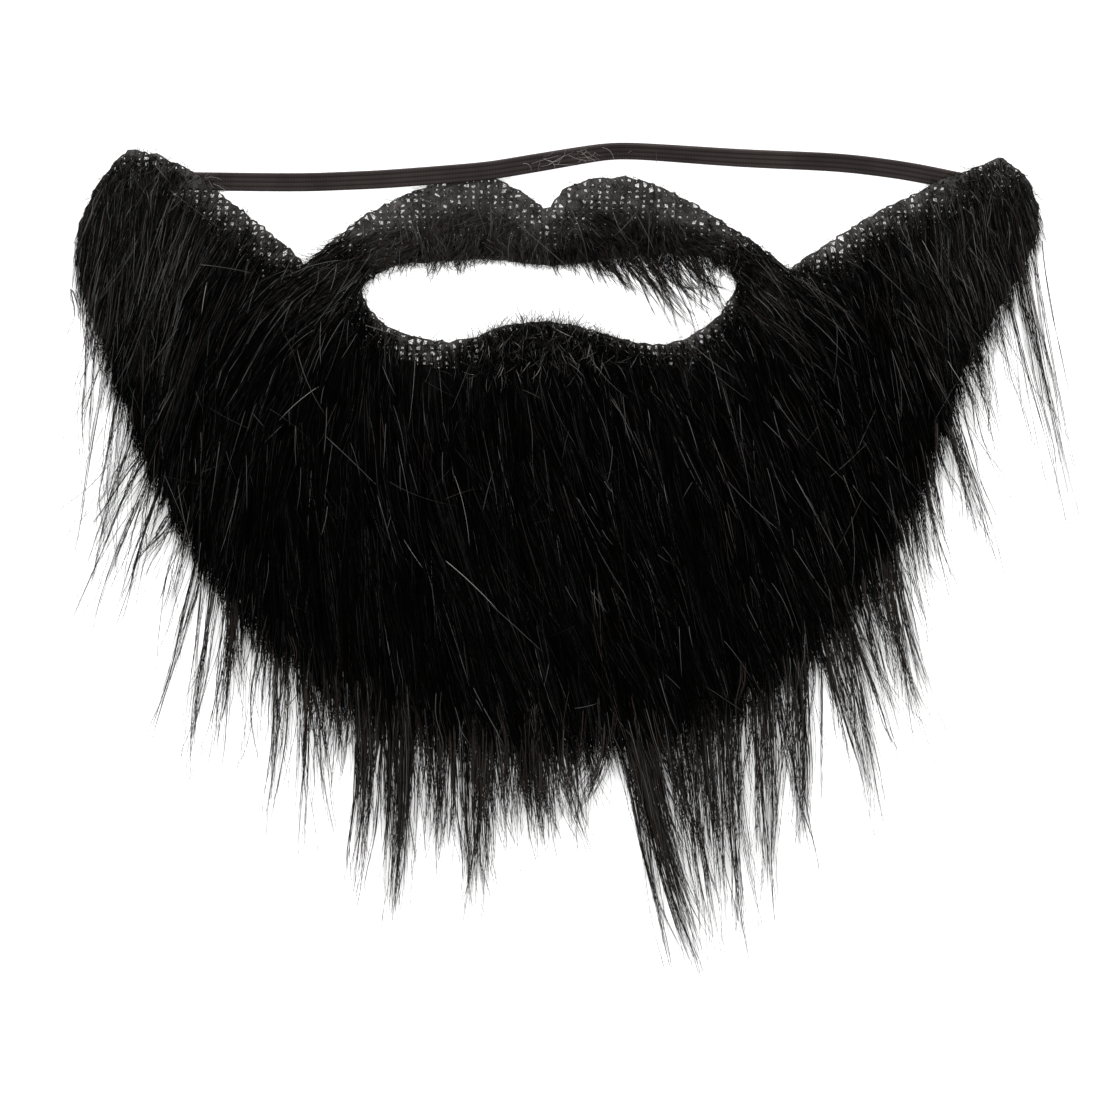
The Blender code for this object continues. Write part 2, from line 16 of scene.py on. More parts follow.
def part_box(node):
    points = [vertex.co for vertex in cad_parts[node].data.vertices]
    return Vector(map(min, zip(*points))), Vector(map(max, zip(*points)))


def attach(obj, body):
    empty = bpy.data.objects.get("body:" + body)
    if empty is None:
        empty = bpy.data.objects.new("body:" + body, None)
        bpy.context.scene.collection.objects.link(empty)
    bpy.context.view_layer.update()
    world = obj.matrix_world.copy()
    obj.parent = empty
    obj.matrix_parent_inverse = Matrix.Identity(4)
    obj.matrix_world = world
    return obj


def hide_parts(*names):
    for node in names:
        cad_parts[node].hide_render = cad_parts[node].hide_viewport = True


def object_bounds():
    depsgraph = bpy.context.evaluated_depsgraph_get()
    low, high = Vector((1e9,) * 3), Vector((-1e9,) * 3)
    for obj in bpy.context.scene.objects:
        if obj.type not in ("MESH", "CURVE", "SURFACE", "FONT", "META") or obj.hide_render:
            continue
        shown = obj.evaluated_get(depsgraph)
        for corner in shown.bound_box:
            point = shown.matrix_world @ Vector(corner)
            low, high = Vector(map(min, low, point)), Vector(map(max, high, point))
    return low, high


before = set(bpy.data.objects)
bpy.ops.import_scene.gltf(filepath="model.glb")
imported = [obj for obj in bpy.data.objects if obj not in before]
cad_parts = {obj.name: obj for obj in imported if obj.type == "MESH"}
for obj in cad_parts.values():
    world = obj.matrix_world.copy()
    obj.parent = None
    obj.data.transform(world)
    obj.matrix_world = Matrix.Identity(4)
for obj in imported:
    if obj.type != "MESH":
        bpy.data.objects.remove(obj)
CAD_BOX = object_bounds()
SEED = 11

# Camera: straight above, with the photograph's framing
PICTURE_WIDTH = 0.286
PICTURE_CENTRE = (0.0003, -0.0390)
CAMERA_HEIGHT = 1.6
SENSOR = 0.036

# Maps over the beard
MAP_STEP = 0.001
MAP_MARGIN = 0.024
FORM_BLUR = 5
KNIT_BLUR = 4

# Cloth
WALE, COURSE = 0.0019, 0.0014  # width and height of a stitch
HOLE = (0.42, 0.50)  # of a stitch
HOLE_SPREAD = (0.05, 1.20)
HOLE_JITTER = 0.00017
WARP = 0.00035  # how far the rows waver
YARN_RISE = 0.00018
SHEET_THICKNESS = 0.0005
SHEET_TOP = 0.00075
SCALLOP = 0.00020
OPEN_CHEEK, OPEN_LIP = 0.024, 0.014  # how far in from the upper edges the stitches are open

# Pile
PILE_LENGTH = 0.066
LOCK_WIDTH = 0.0125
HAIR_WIDTH = 0.00015
REACH_LEFT, REACH_RIGHT, REACH_DOWN = -0.139, 0.1415, -0.165  # how far out hairs may lie
FLOOR_GAP = 0.00012
CLEARANCE = 0.00024  # from the cloth to the hairs that lie on it
CHEEK_THIN, LIP_THIN, BRIDGE_THIN = 0.011, 0.010, 0.010  # from the edges in to its full thickness
SHORT_MARGIN = 0.024  # from the upper edges in to its full length
TIP_SHEEN = 0.04  # paler pile round the sideburns' tips, which is painted sheen
OVERHANG = 0.0085  # of the dense pile past the chin's edge
SIDE_START, SIDE_BLEND = -0.02, 0.05  # height at which the sideburns' lean sets in
DOWN_FROM = 0.012  # height below which the outer edge begins to face the chin's side

BODY_HAIRS = 46000
BODY_POINTS = 4
WAY_STEPS = 12  # of a hair's line before it is cut off
TUFT_STEP, TUFT_LENGTH = 0.0056, 0.046
LIP_TUFT_HAIRS = 1500
LIP_TUFT_AT, LIP_TUFT_SPREAD, LIP_TUFT_DEPTH = -0.003, 0.011, 0.011
LOOSE_HAIRS = 620
FRINGE_STRAYS = 420
COVER_HAIRS = 7500
SWEEP_HAIRS = 900
SWEEP_LEANS = (-58, 52)  # at the moustache's left and right end
MOUSTACHE_HAIRS = 9000
MOUSTACHE_STRAYS = 26
MOUSTACHE_TUFT_STEP = 0.0045
FUZZ_FIBRES = 1700
KNIT_FIBRES = 11500
RIDGE_RISE, RIDGES, RIDGE_WAVES = 0.00035, 2100, 260  # of the underfur: height, and radians a metre

# Waves along a hair: slowest and fastest, in radians over its length, and how much each counts
Wave = namedtuple("Wave", "slow fast part")
WAVES = (Wave(2, 7, 1.0), Wave(8, 16, 0.35))

# How much of each tone the hairs have
Tones = namedtuple("Tones", "black dark brown grey pale")
# The brown shares are painted backlight and the grey shares are painted glints, as in FIBRES.
PILE_TONES = Tones(77, 20.7, 1, 1.3, 0)
# Near the sideburns' tips: more brown and grey, painted sheen
TIP_TONES = Tones(32, 40, 13, 15, 0)
FRINGE_TONES = Tones(14, 22, 50, 14, 0)
STRAY_TONES = Tones(16, 20, 52, 12, 0)
LOOSE_TONES = Tones(0, 36, 8, 53, 3)
COVER_TONES = Tones(62, 30, 4, 4, 0)
# Cover hairs near the tips: painted sheen as well
TIP_COVER_TONES = Tones(22, 42, 24, 12, 0)
SWEEP_TONES = Tones(50, 34, 7, 9, 0)
LIP_TUFT_TONES = Tones(52, 22, 6, 17, 3)
FUZZ_TONES = Tones(70, 15, 12, 3, 0)
KNIT_TONES = Tones(46, 36, 9, 9, 0)
PALE_KNIT_TONES = Tones(0, 20, 20, 57, 3)
# The left lobe's paler mix than the right's is painted sheen.
LEFT_LOBE_TONES = Tones(4, 24, 50, 22, 0)
RIGHT_LOBE_TONES = Tones(26, 40, 26, 8, 0)
WISP_TONES = Tones(34, 24, 34, 8, 0)

Mark = namedtuple("Mark", "at value")

# Where the knit shows below the mouth's corners, and how clearly
BARE_LIP = (Mark(-0.031, 1.0), Mark(0.036, 0.55))
BARE_WIDTH = 0.012

# The pile's lean by x as a share of half the beard's width, on the body and at its sideburns
BODY_LEAN = (
    Mark(-1.00, -12), Mark(-0.72, -8), Mark(-0.50, 2), Mark(-0.30, 15), Mark(0.10, 17), Mark(1.00, 19),
)
SIDE_LEAN = (
    Mark(-1.00, -10), Mark(-0.80, -13), Mark(-0.55, -34), Mark(-0.35, -10), Mark(0.30, 25), Mark(1.00, 14),
)

# The fringe's main locks: share of the outer edge's length, of PILE_LENGTH and of LOCK_WIDTH, lean, how much
# the lean changes by the tip, and hairs
Fringe = namedtuple("Fringe", "at length width lean curl hairs")
FRINGE = [Fringe(*row) for row in (
    (0.100, 0.34, 0.60, -4, 3, 15),
    (0.120, 0.60, 0.50, -6, 2, 9),
    (0.150, 0.90, 0.50, -8, 3, 6),
    (0.185, 0.90, 0.40, -16, -4, 8),
    (0.200, 0.66, 0.35, -38, 27, 8),
    (0.208, 1.02, 0.40, -25, 13, 10),
    (0.220, 0.80, 0.40, -19, 4, 8),
    (0.235, 0.36, 0.50, -34, -8, 30),
    (0.250, 0.66, 0.45, -16, 8, 16),
    (0.262, 0.90, 0.45, -15, -3, 14),
    (0.278, 1.00, 0.45, -7, -4, 20),
    (0.293, 0.88, 0.35, 0, -20, 52),
    (0.314, 0.40, 0.70, -2, 0, 54),
    (0.335, 0.84, 0.55, 0, -9, 56),
    (0.354, 0.88, 0.55, 2, -8, 66),
    (0.375, 0.50, 0.80, 0, -4, 110),
    (0.395, 0.89, 0.55, 1, -14, 120),
    (0.415, 0.93, 0.70, 0, -5, 190),
    (0.438, 0.68, 0.90, 2, -4, 190),
    (0.458, 0.92, 0.55, 0, 3, 130),
    (0.478, 0.60, 0.90, 3, 4, 210),
    (0.497, 0.60, 0.80, 0, 8, 190),
    (0.515, 0.58, 0.70, -4, 40, 120),
    (0.538, 0.46, 0.60, 2, -50, 80),
    (0.556, 1.14, 0.60, 11, 10, 170),
    (0.585, 1.13, 0.60, 5, 6, 90),
    (0.598, 0.74, 0.90, 6, -4, 110),
    (0.612, 1.13, 0.60, 2, 1, 84),
    (0.640, 1.10, 0.80, 2, 0, 100),
    (0.662, 0.92, 0.70, 6, -12, 96),
    (0.690, 1.12, 0.80, 18, -12, 80),
    (0.715, 0.60, 0.70, 14, 2, 80),
    (0.742, 0.94, 0.50, 10, 12, 60),
    (0.757, 0.84, 0.50, 15, 4, 16),
    (0.770, 0.42, 0.60, 12, 2, 46),
    (0.786, 0.70, 0.50, 14, 4, 14),
    (0.800, 0.46, 0.60, 10, 2, 40),
    (0.830, 0.72, 0.50, 17, 3, 44),
    (0.870, 0.50, 0.60, 14, 2, 40),
    (0.925, 1.15, 0.75, 12, 1, 60),
)]
THIN_LOCKS = 230  # between the main ones
STRING_HAIRS = 3
FRINGE_POINTS = 13

# Thin wisps that hang from the moustache into the mouth opening: place across as a share of half its width
Wisp = namedtuple("Wisp", "across length lean hairs")
MOUTH_WISPS = [Wisp(*row) for row in (
    (0.08, 0.006, 15, 50),
    (0.16, 0.010, 28, 100),
    (0.21, 0.014, 34, 110),
    (0.27, 0.028, 42, 66),
    (0.31, 0.016, 30, 70),
    (0.36, 0.030, 38, 66),
    (0.41, 0.017, 28, 70),
    (0.46, 0.027, 34, 66),
    (0.52, 0.017, 26, 70),
    (0.57, 0.022, 32, 60),
    (0.63, 0.018, 20, 60),
    (0.70, 0.010, 12, 40),
    (-0.66, 0.005, -35, 40),
    (-0.58, 0.005, -30, 50),
    (-0.47, 0.007, -18, 60),
    (-0.44, 0.006, -4, 60),
    (-0.41, 0.006, 10, 50),
    (-0.36, 0.006, -14, 50),
)]

# Elastic strap
RIBS = 4
RIB_POINTS = 6
GROOVE = 0.00016
STRAP_SPACING = 0.0011
STRAP_END = 4  # rings of the strap from its end to its stitches
STITCHES = 12
STITCH_LENGTH, SEAM_HALF = 0.003, 0.0018
THREAD_WIDTH, THREAD_RISE = 0.00032, 0.0003

# Hairs caught on the strap: share of its length, how far they scatter, and hairs
Caught = namedtuple("Caught", "at spread hairs")
LINT = (Caught(0.50, 0.035, 24), Caught(0.06, 0.025, 10))
LINT_WIDTH, LINT_HEIGHT = 0.0016, 0.0006


def chance(series):
    """A source of chance that gives the same values each run."""
    return np.random.default_rng(SEED + series)


# Lines and maps in plan

def eased(share):
    share = np.clip(share, 0, 1)
    return share * share * (3 - 2 * share)


def read(marks, place):
    """A value between the rows of a table."""
    return np.interp(place, [m.at for m in marks], [m.value for m in marks])


def triangles(node):
    """A solid's corners without doubles, and its triangles."""
    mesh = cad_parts[node].data
    mesh.calc_loop_triangles()
    spots = np.zeros(len(mesh.vertices) * 3)
    mesh.vertices.foreach_get("co", spots)
    corners = np.zeros(len(mesh.loop_triangles) * 3, int)
    mesh.loop_triangles.foreach_get("vertices", corners)
    spots, place = np.unique(np.round(spots.reshape(-1, 3), 7), axis=0, return_inverse=True)
    return spots, place.ravel()[corners].reshape(-1, 3)


def edge_loops(spots, faces):
    """The closed lines round faces, longest first, in plan."""
    edges = np.concatenate([faces[:, [0, 1]], faces[:, [1, 2]], faces[:, [2, 0]]])
    known = {tuple(e) for e in edges.tolist()}
    after = {a: b for a, b in known if (b, a) not in known}
    loops = []
    while after:
        start, place = after.popitem()
        loop = [start]
        while place != start:
            loop.append(place)
            place = after.pop(place)
        loops.append(spots[loop, :2])
    return sorted(loops, key=len, reverse=True)


def between(loop, first, last):
    """The stretch of a closed line from one of its points to another."""
    last += len(loop) * (last < first)
    return np.roll(loop, -first, axis=0)[: last - first + 1]


def halves(loop, first, last):
    """A closed line's two stretches from one of its points to another, the lower one first."""
    found = [between(loop, first, last), between(loop, last, first)[::-1]]
    return sorted(found, key=lambda line: line[:, 1].mean())


def nearest(points, *lines):
    """The distance in plan from points to some lines, and the nearest places on them."""
    least, places = np.full(points.shape[:-1], np.inf), np.zeros(points.shape)
    for start, end in [pair for line in lines for pair in zip(line, line[1:])]:
        way = end - start
        part = np.clip(((points - start) @ way) / (way @ way), 0, 1)
        place = start + part[..., None] * way
        gap = ((points - place) ** 2).sum(-1)
        places = np.where((gap < least)[..., None], place, places)
        least = np.minimum(least, gap)
    return np.sqrt(least), places


def inside(points, loop):
    """Which points lie in a closed line."""
    x, y = points[..., 0], points[..., 1]
    odd = np.zeros(x.shape, bool)
    for (ax, ay), (bx, by) in zip(loop, np.roll(loop, -1, axis=0)):
        if ay != by:
            odd ^= ((ay > y) != (by > y)) & (x < (bx - ax) * (y - ay) / (by - ay) + ax)
    return odd


def line_length(line):
    """The length along a line up to each of its points."""
    return np.concatenate([[0], np.cumsum(np.linalg.norm(np.diff(line, axis=0), axis=1))])


def at(line, share):
    """Points at shares of a line's length."""
    gone = line_length(line)
    return np.stack([np.interp(share * gone[-1], gone, line[:, i]) for i in (0, 1)], -1)


class Map:
    """Values on a square grid over the beard, read between its points."""

    low = np.array([CAD_BOX[0].x, CAD_BOX[0].y]) - MAP_MARGIN
    size = np.ceil((np.array([CAD_BOX[1].x, CAD_BOX[1].y]) + MAP_MARGIN - low) / MAP_STEP).astype(int) + 1
    points = low + np.moveaxis(np.indices(size), 0, -1) * MAP_STEP

    def __init__(self, values, blur=0):
        for _ in range(blur):
            for axis in (0, 1):
                values = (np.roll(values, 1, axis) + 2 * values + np.roll(values, -1, axis)) / 4
        self.values = values

    def __call__(self, points):
        place = np.clip((points[..., :2] - self.low) / MAP_STEP, 0, self.size - 1.001)
        whole = np.floor(place)
        i, j = np.moveaxis(whole.astype(int), -1, 0)
        u, v = np.moveaxis(place - whole, -1, 0)
        values = self.values
        below = values[i, j] * (1 - u) + values[i + 1, j] * u
        above = values[i, j + 1] * (1 - u) + values[i + 1, j + 1] * u
        return below * (1 - v) + above * v


def heights(*nodes):
    """The height of the top of some solids over each point of the map, and 0 beside them."""
    top = np.zeros(Map.points.shape[:2])
    for node in nodes:
        spots, faces = triangles(node)
        tree = BVHTree.FromPolygons(spots.tolist(), faces.tolist())
        low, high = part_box(node)
        x, y = Map.points[..., 0], Map.points[..., 1]
        over = (x > low.x) & (x < high.x) & (y > low.y) & (y < high.y)
        for i, j in zip(*np.nonzero(over)):
            hit = tree.ray_cast((x[i, j], y[i, j], high.z + 1), (0, 0, -1))[0]
            if hit is not None:
                top[i, j] = max(top[i, j], hit.z)
    return top


def from_lines(*lines):
    """The distance in plan to the nearest of some lines."""
    return Map(nearest(Map.points, *lines)[0])


def from_spots(*spots):
    """The distance in plan to the nearest of some points."""
    return Map(np.minimum.reduce([np.linalg.norm(Map.points - spot, axis=-1) for spot in spots]))


KNIT_SPOTS, KNIT_FACES = triangles("knit_backing")
FIRST, SECOND, THIRD = KNIT_SPOTS[KNIT_FACES.T]
KNIT_NORMALS = np.cross(SECOND - FIRST, THIRD - FIRST)
UPWARD = KNIT_NORMALS[:, 2] > 0.7 * np.linalg.norm(KNIT_NORMALS, axis=1)
CLOTH, MOUTH = edge_loops(KNIT_SPOTS, KNIT_FACES[UPWARD])[:2]
HALF_WIDTH = (CLOTH[:, 0].max() - CLOTH[:, 0].min()) / 2

LEFT_TIP = int(np.where(CLOTH[:, 0] < 0, CLOTH[:, 1], -1).argmax())
RIGHT_TIP = int(np.where(CLOTH[:, 0] > 0, CLOTH[:, 1], -1).argmax())
RIM, BROW = halves(CLOTH, LEFT_TIP, RIGHT_TIP)
RIM = RIM[1:-1]
LIP, MOUTH_TOP = halves(MOUTH, int(MOUTH[:, 0].argmin()), int(MOUTH[:, 0].argmax()))
LEFT_NOTCH = int(np.where(BROW[:, 0] < 0, BROW[:, 1], 1).argmin())
RIGHT_NOTCH = int(np.where(BROW[:, 0] > 0.02, BROW[:, 1], 1).argmin())
LOBES = BROW[LEFT_NOTCH : RIGHT_NOTCH + 1]
CHEEKS = BROW[: LEFT_NOTCH + 1], BROW[RIGHT_NOTCH:]
MOUSTACHE = np.concatenate([LOBES, MOUTH_TOP[::-1]])
CHIN_EDGE = RIM[:, 1].min()

GRID_INSIDE = inside(Map.points, CLOTH) & ~inside(Map.points, MOUTH)
PAST_RIM = Map(from_lines(RIM).values * np.where(GRID_INSIDE, -1, 1))
FROM_CHEEK = from_lines(*CHEEKS)
FROM_LIP = from_lines(LIP)
FROM_LOBES = from_lines(LOBES)
FROM_MOUTH_TOP = from_lines(MOUTH_TOP)
FROM_TIPS = from_spots(CLOTH[LEFT_TIP], CLOTH[RIGHT_TIP])
BRIDGES = [(LOBES[end] + LIP[end]) / 2 for end in (0, -1)]
FROM_BRIDGE = from_spots(*BRIDGES)
FORM = Map(heights("beard_fur", "moustache_fur"), FORM_BLUR)
KNIT_TOP = heights("knit_backing")
LIFT = Map(np.where(KNIT_TOP > 0, KNIT_TOP, np.median(KNIT_TOP[KNIT_TOP > 0])), KNIT_BLUR)
THICKNESS = np.median(KNIT_TOP[KNIT_TOP > 0])


def lift(points):
    """How far the cloth is raised over the strap's ends."""
    return np.maximum(LIFT(points) - THICKNESS, 0)


# Finishes

def feed(tree, node, **inputs):
    """Sets a node's inputs to values or links them."""
    for name, value in inputs.items():
        socket = node.inputs[name.replace("_", " ")]
        if isinstance(value, bpy.types.NodeSocket):
            tree.links.new(value, socket)
        else:
            socket.default_value = value


def add(tree, kind, **inputs):
    """A node with values or links for its inputs."""
    node = tree.nodes.new(kind)
    feed(tree, node, **inputs)
    return node


def new_material(name, colour, roughness, specular):
    """A material with its node tree, its shader and the place on the object for its textures."""
    made = bpy.data.materials.new(name)
    made.use_nodes = True
    tree = made.node_tree
    shader = tree.nodes["Principled BSDF"]
    feed(tree, shader, Base_Color=(*colour, 1), Roughness=roughness, Specular_IOR_Level=specular)
    return made, tree, shader, add(tree, "ShaderNodeTexCoord").outputs["Object"]


def ramp(tree, factor, low, high, begin, end):
    """A colour ramp between two colours."""
    node = add(tree, "ShaderNodeValToRGB", Fac=factor)
    for element, position, colour in zip(node.color_ramp.elements, (begin, end), (low, high)):
        element.position = position
        element.color = (*colour, 1)
    return node.outputs["Color"]


def spread(tree, factor, low, high):
    """A number that goes from low to high with a factor."""
    return add(tree, "ShaderNodeMapRange", Value=factor, To_Min=low, To_Max=high).outputs["Result"]


def relief(tree, height, strength, distance):
    """The normal of a fine bump."""
    bump = add(tree, "ShaderNodeBump", Height=height, Strength=strength, Distance=distance)
    return bump.outputs["Normal"]


def fibre(name, colour, roughness, specular):
    """Synthetic fibre, with its gloss uneven along it."""
    made, tree, shader, place = new_material(name, colour, roughness, specular)
    noise = add(tree, "ShaderNodeTexNoise", Vector=place, Scale=420.0, Detail=2.0).outputs["Fac"]
    feed(tree, shader, Roughness=spread(tree, noise, roughness - 0.12, roughness + 0.16))
    return made


def knit_material():
    """Black warp knit: yarn with a fine twist, paler in random patches, which is painted sheen."""
    made, tree, shader, place = new_material("knit", (0.016, 0.014, 0.013), 0.8, 0.2)
    patches = add(tree, "ShaderNodeTexNoise", Vector=place, Scale=160.0, Detail=3.0).outputs["Fac"]
    twist = add(tree, "ShaderNodeTexWave", Vector=place, Scale=900.0, Distortion=3.0, Detail=2.0)
    twist.bands_direction = "DIAGONAL"
    # Paler patches: painted sheen
    colour = ramp(tree, patches, (0.028, 0.026, 0.025), (0.108, 0.100, 0.095), 0.35, 0.75)
    normal = relief(tree, twist.outputs["Fac"], 0.5, 0.0001)
    feed(tree, shader, Base_Color=colour, Normal=normal, Roughness=spread(tree, patches, 0.7, 0.92))
    return made


def underfur_material():
    """The pile's dark depth, in fine streaks along the hairs."""
    made, tree, shader, place = new_material("underfur", (0.004, 0.0036, 0.0033), 0.75, 0.1)
    shape = add(tree, "ShaderNodeMapping", Vector=place, Scale=(1.0, 0.08, 0.3)).outputs["Vector"]
    streaks = add(tree, "ShaderNodeTexNoise", Vector=shape, Scale=1500.0, Detail=4.0).outputs["Fac"]
    colour = ramp(tree, streaks, (0.0008, 0.0007, 0.0007), (0.0035, 0.0031, 0.0029), 0.4, 0.7)
    feed(tree, shader, Base_Color=colour, Normal=relief(tree, streaks, 0.9, 0.0006))
    return made


def elastic_material(name, colour):
    """Woven elastic: fine threads across, and a faint brown cast that is painted backlight."""
    made, tree, shader, place = new_material(name, colour, 0.62, 0.12)
    patches = add(tree, "ShaderNodeTexNoise", Vector=place, Scale=90.0, Detail=3.0).outputs["Fac"]
    threads = add(tree, "ShaderNodeTexWave", Vector=place, Scale=420.0, Distortion=1.2, Detail=1.0)
    threads.bands_direction = "X"
    weave = threads.outputs["Fac"]
    dull, lighter = [value * 0.75 for value in colour], [value * 1.3 for value in colour]
    shade = ramp(tree, patches, dull, lighter, 0.35, 0.7)
    normal = relief(tree, weave, 0.6, 0.00012)
    feed(tree, shader, Base_Color=shade, Normal=normal, Roughness=spread(tree, weave, 0.5, 0.75))
    return made


BLACK, DARK, BROWN, GREY, PALE = range(5)
# Brown strands are painted backlight shining through thin hair, and grey strands are painted glints; both
# also vary the hairs' tone.
FIBRES = [
    fibre("pile_black", (0.0006, 0.0006, 0.0005), 0.42, 0.012),
    fibre("pile_dark", (0.0042, 0.0038, 0.0036), 0.36, 0.06),
    fibre("pile_brown_backlit", (0.018, 0.0125, 0.010), 0.40, 0.12),
    fibre("pile_grey_glint", (0.042, 0.040, 0.039), 0.34, 0.35),
    fibre("pile_pale", (0.20, 0.19, 0.18), 0.38, 0.50),
]
KNIT = knit_material()
UNDERFUR = underfur_material()
RIB, GROOVE_SHADE, SELVEDGE_BACKLIT = range(3)
ELASTIC = [
    # The faint brown cast of all three is painted backlight.
    elastic_material("elastic", (0.022, 0.0165, 0.0155)),
    # Darker between the ribs: painted shade in the grooves
    elastic_material("elastic_groove_shade", (0.009, 0.007, 0.0065)),
    # Paler at the selvedges: painted backlight
    elastic_material("elastic_edge_backlit", (0.050, 0.041, 0.038)),
]


# Pieces

def show(name, mesh, materials):
    """Links a mesh as a named piece that rides on the root body."""
    for finish in materials:
        mesh.materials.append(finish)
    made = bpy.data.objects.new(name, mesh)
    bpy.context.scene.collection.objects.link(made)
    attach(made, "root")
    return made


def mesh_of(name, spots, corners, starts, kinds=None):
    """A mesh from its points, the corners of its faces in one row, and where each face begins in it."""
    mesh = bpy.data.meshes.new(name)
    mesh.vertices.add(len(spots))
    mesh.vertices.foreach_set("co", np.ascontiguousarray(spots, np.float32).ravel())
    mesh.loops.add(len(corners))
    mesh.loops.foreach_set("vertex_index", np.ascontiguousarray(corners, np.int32))
    mesh.polygons.add(len(starts))
    mesh.polygons.foreach_set("loop_start", np.ascontiguousarray(starts, np.int32))
    mesh.polygons.foreach_set("use_smooth", np.ones(len(starts), bool))
    if kinds is not None:
        mesh.polygons.foreach_set("material_index", np.ascontiguousarray(kinds, np.int32))
    mesh.update(calc_edges=True)
    mesh.validate()
    return mesh


def unit(vectors):
    return vectors / np.maximum(np.linalg.norm(vectors, axis=-1, keepdims=True), 1e-12)


def ribbons(name, lines, width, tones, random):
    """A piece of flat tapered hairs along lines of points, rolled and twisted by chance so that they glint
    unevenly. Tones choose among FIBRES."""
    count, steps = lines.shape[0], lines.shape[1] - 1
    share = np.linspace(0, 1, steps + 1)
    way = unit(np.gradient(lines, axis=1))
    side = unit(np.cross(way, (0, 0, 1)))
    up = np.cross(side, way)
    turn = random.uniform(-1.1, 1.1, (count, 1)) + random.uniform(-1.0, 1.0, (count, 1)) * share
    taper = (1 - 0.6 * share**2) * width[:, None] / 2
    across = (side * np.cos(turn)[..., None] + up * np.sin(turn)[..., None]) * taper[..., None]
    pairs = np.stack([lines - across, lines + across], 2)[:, :steps].reshape(count, 2 * steps, 3)
    spots = np.concatenate([pairs, lines[:, steps:]], 1)
    spots[..., 2] = np.maximum(spots[..., 2], FLOOR_GAP / 2)
    quads = np.arange(steps - 1)[:, None] * 2 + np.array([0, 1, 3, 2])
    own = np.concatenate([quads.ravel(), [2 * steps - 2, 2 * steps - 1, 2 * steps]])
    corners = own + np.arange(count)[:, None] * (2 * steps + 1)
    starts = np.arange(steps) * 4 + np.arange(count)[:, None] * len(own)
    mesh = mesh_of(name, spots.reshape(-1, 3), corners.ravel(), starts.ravel(), np.repeat(tones, steps))
    return show(name, mesh, FIBRES)


def tone_mix(random, count, shares):
    """Tones by chance, in given shares."""
    return random.choice(len(FIBRES), count, p=np.array(shares) / sum(shares))


def two_mixes(random, some, shares, others):
    """Tones by chance, in one mix for some of the hairs and in another for the others."""
    return np.where(some, tone_mix(random, len(some), shares), tone_mix(random, len(some), others))


def widths(random, count, least, most):
    """Hair widths by chance, as shares of HAIR_WIDTH."""
    return HAIR_WIDTH * random.uniform(least, most, count)


def strew(name, lines, shares, least, most, random):
    """A piece of hairs with tones in one mix and widths, both by chance."""
    tones = tone_mix(random, len(lines), shares)
    ribbons(name, lines, widths(random, len(lines), least, most), tones, random)


# Hairs in plan

def guide_lines(roots, lean, curl, length, steps=8):
    """Lines in plan from their roots."""
    share = np.arange(steps) / steps
    angle = np.radians(lean[:, None] + curl[:, None] * share)
    step = np.stack([np.sin(angle), -np.cos(angle)], -1) * (length / steps)[:, None, None]
    return np.concatenate([roots[:, None], roots[:, None] + np.cumsum(step, 1)], 1)


def along(lines, share):
    """Points at shares of each line."""
    place = np.clip(share, 0, 1) * (lines.shape[1] - 1)
    low = np.minimum(place.astype(int), lines.shape[1] - 2)
    part = (place - low)[..., None]
    own = np.arange(len(lines))[:, None]
    return lines[own, low] * (1 - part) + lines[own, low + 1] * part


def gathered(roots, guides, reach, gather, points, random, wobble=0.0007, power=1.2):
    """Hairs that follow their tuft's line, gather towards it and waver a little."""
    share = np.linspace(0, 1, points + 1)[None]
    line = along(guides, reach[:, None] * share)
    lines = line + (roots - guides[:, 0])[:, None] * (1 - gather[:, None] * share**power)[..., None]
    way = unit(guides[:, -1] - guides[:, 0])
    side = np.stack([-way[:, 1], way[:, 0]], -1)
    sway = 0
    each = (len(roots), 1)
    for wave in WAVES:
        phase = random.uniform(0, 6.3, each)
        speed = random.uniform(wave.slow, wave.fast, each)
        sway = sway + wave.part * random.normal(0, 1, each) * np.sin(phase + speed * share)
    return lines + (wobble * sway * share)[..., None] * side[:, None]


def clung(random, strings, each, spread, points):
    """A few hairs along each string, from roots close together, and which string each is on."""
    own = np.repeat(np.arange(len(strings)), random.poisson(each, len(strings)) + 1)
    roots = strings[own, 0] + random.normal(0, spread, (len(own), 2))
    reach = random.uniform(0.5, 1.0, len(own)) ** 0.7
    gather = random.uniform(0.5, 1.0, len(own))
    return gathered(roots, strings[own], reach, gather, points, random, 0.0003, 0.5), own


def laid(lines, layer, rise=0.25, over=0.0):
    """Gives hairs in plan their heights: out of the cloth first, and then in their layer of the pile."""
    share = np.linspace(0, 1, lines.shape[1])[None]
    out = eased(share / rise)
    layer = layer[:, None]
    cloth = SHEET_TOP * (PAST_RIM(lines) < 0) + lift(lines)
    lying = np.maximum(FORM(lines) * layer, cloth + CLEARANCE * (1 + 2 * layer)) + over
    z = cloth * (1 - out) + lying * out
    return np.concatenate([lines, np.maximum(z, FLOOR_GAP)[..., None]], -1)


def cut_off(way, out, least, points=BODY_POINTS):
    """Hairs cut off where they first go out, at a least share of their way, as lines of a few points."""
    stop = np.where(out.any(1), out.argmax(1), WAY_STEPS) / WAY_STEPS
    return along(way, np.maximum(stop, least)[:, None] * np.linspace(0, 1, points + 1))


def within_reach(lines):
    """Which hairs lie within the limits on every side."""
    x, y = lines[..., 0], lines[..., 1]
    return (x.min(1) > REACH_LEFT) & (x.max(1) < REACH_RIGHT) & (y.min(1) > REACH_DOWN)


def on_cloth(lines, height):
    """Gives hairs in plan their heights above the knit."""
    z = SHEET_TOP + lift(lines) + height[:, None]
    return np.concatenate([lines, z[..., None]], -1)


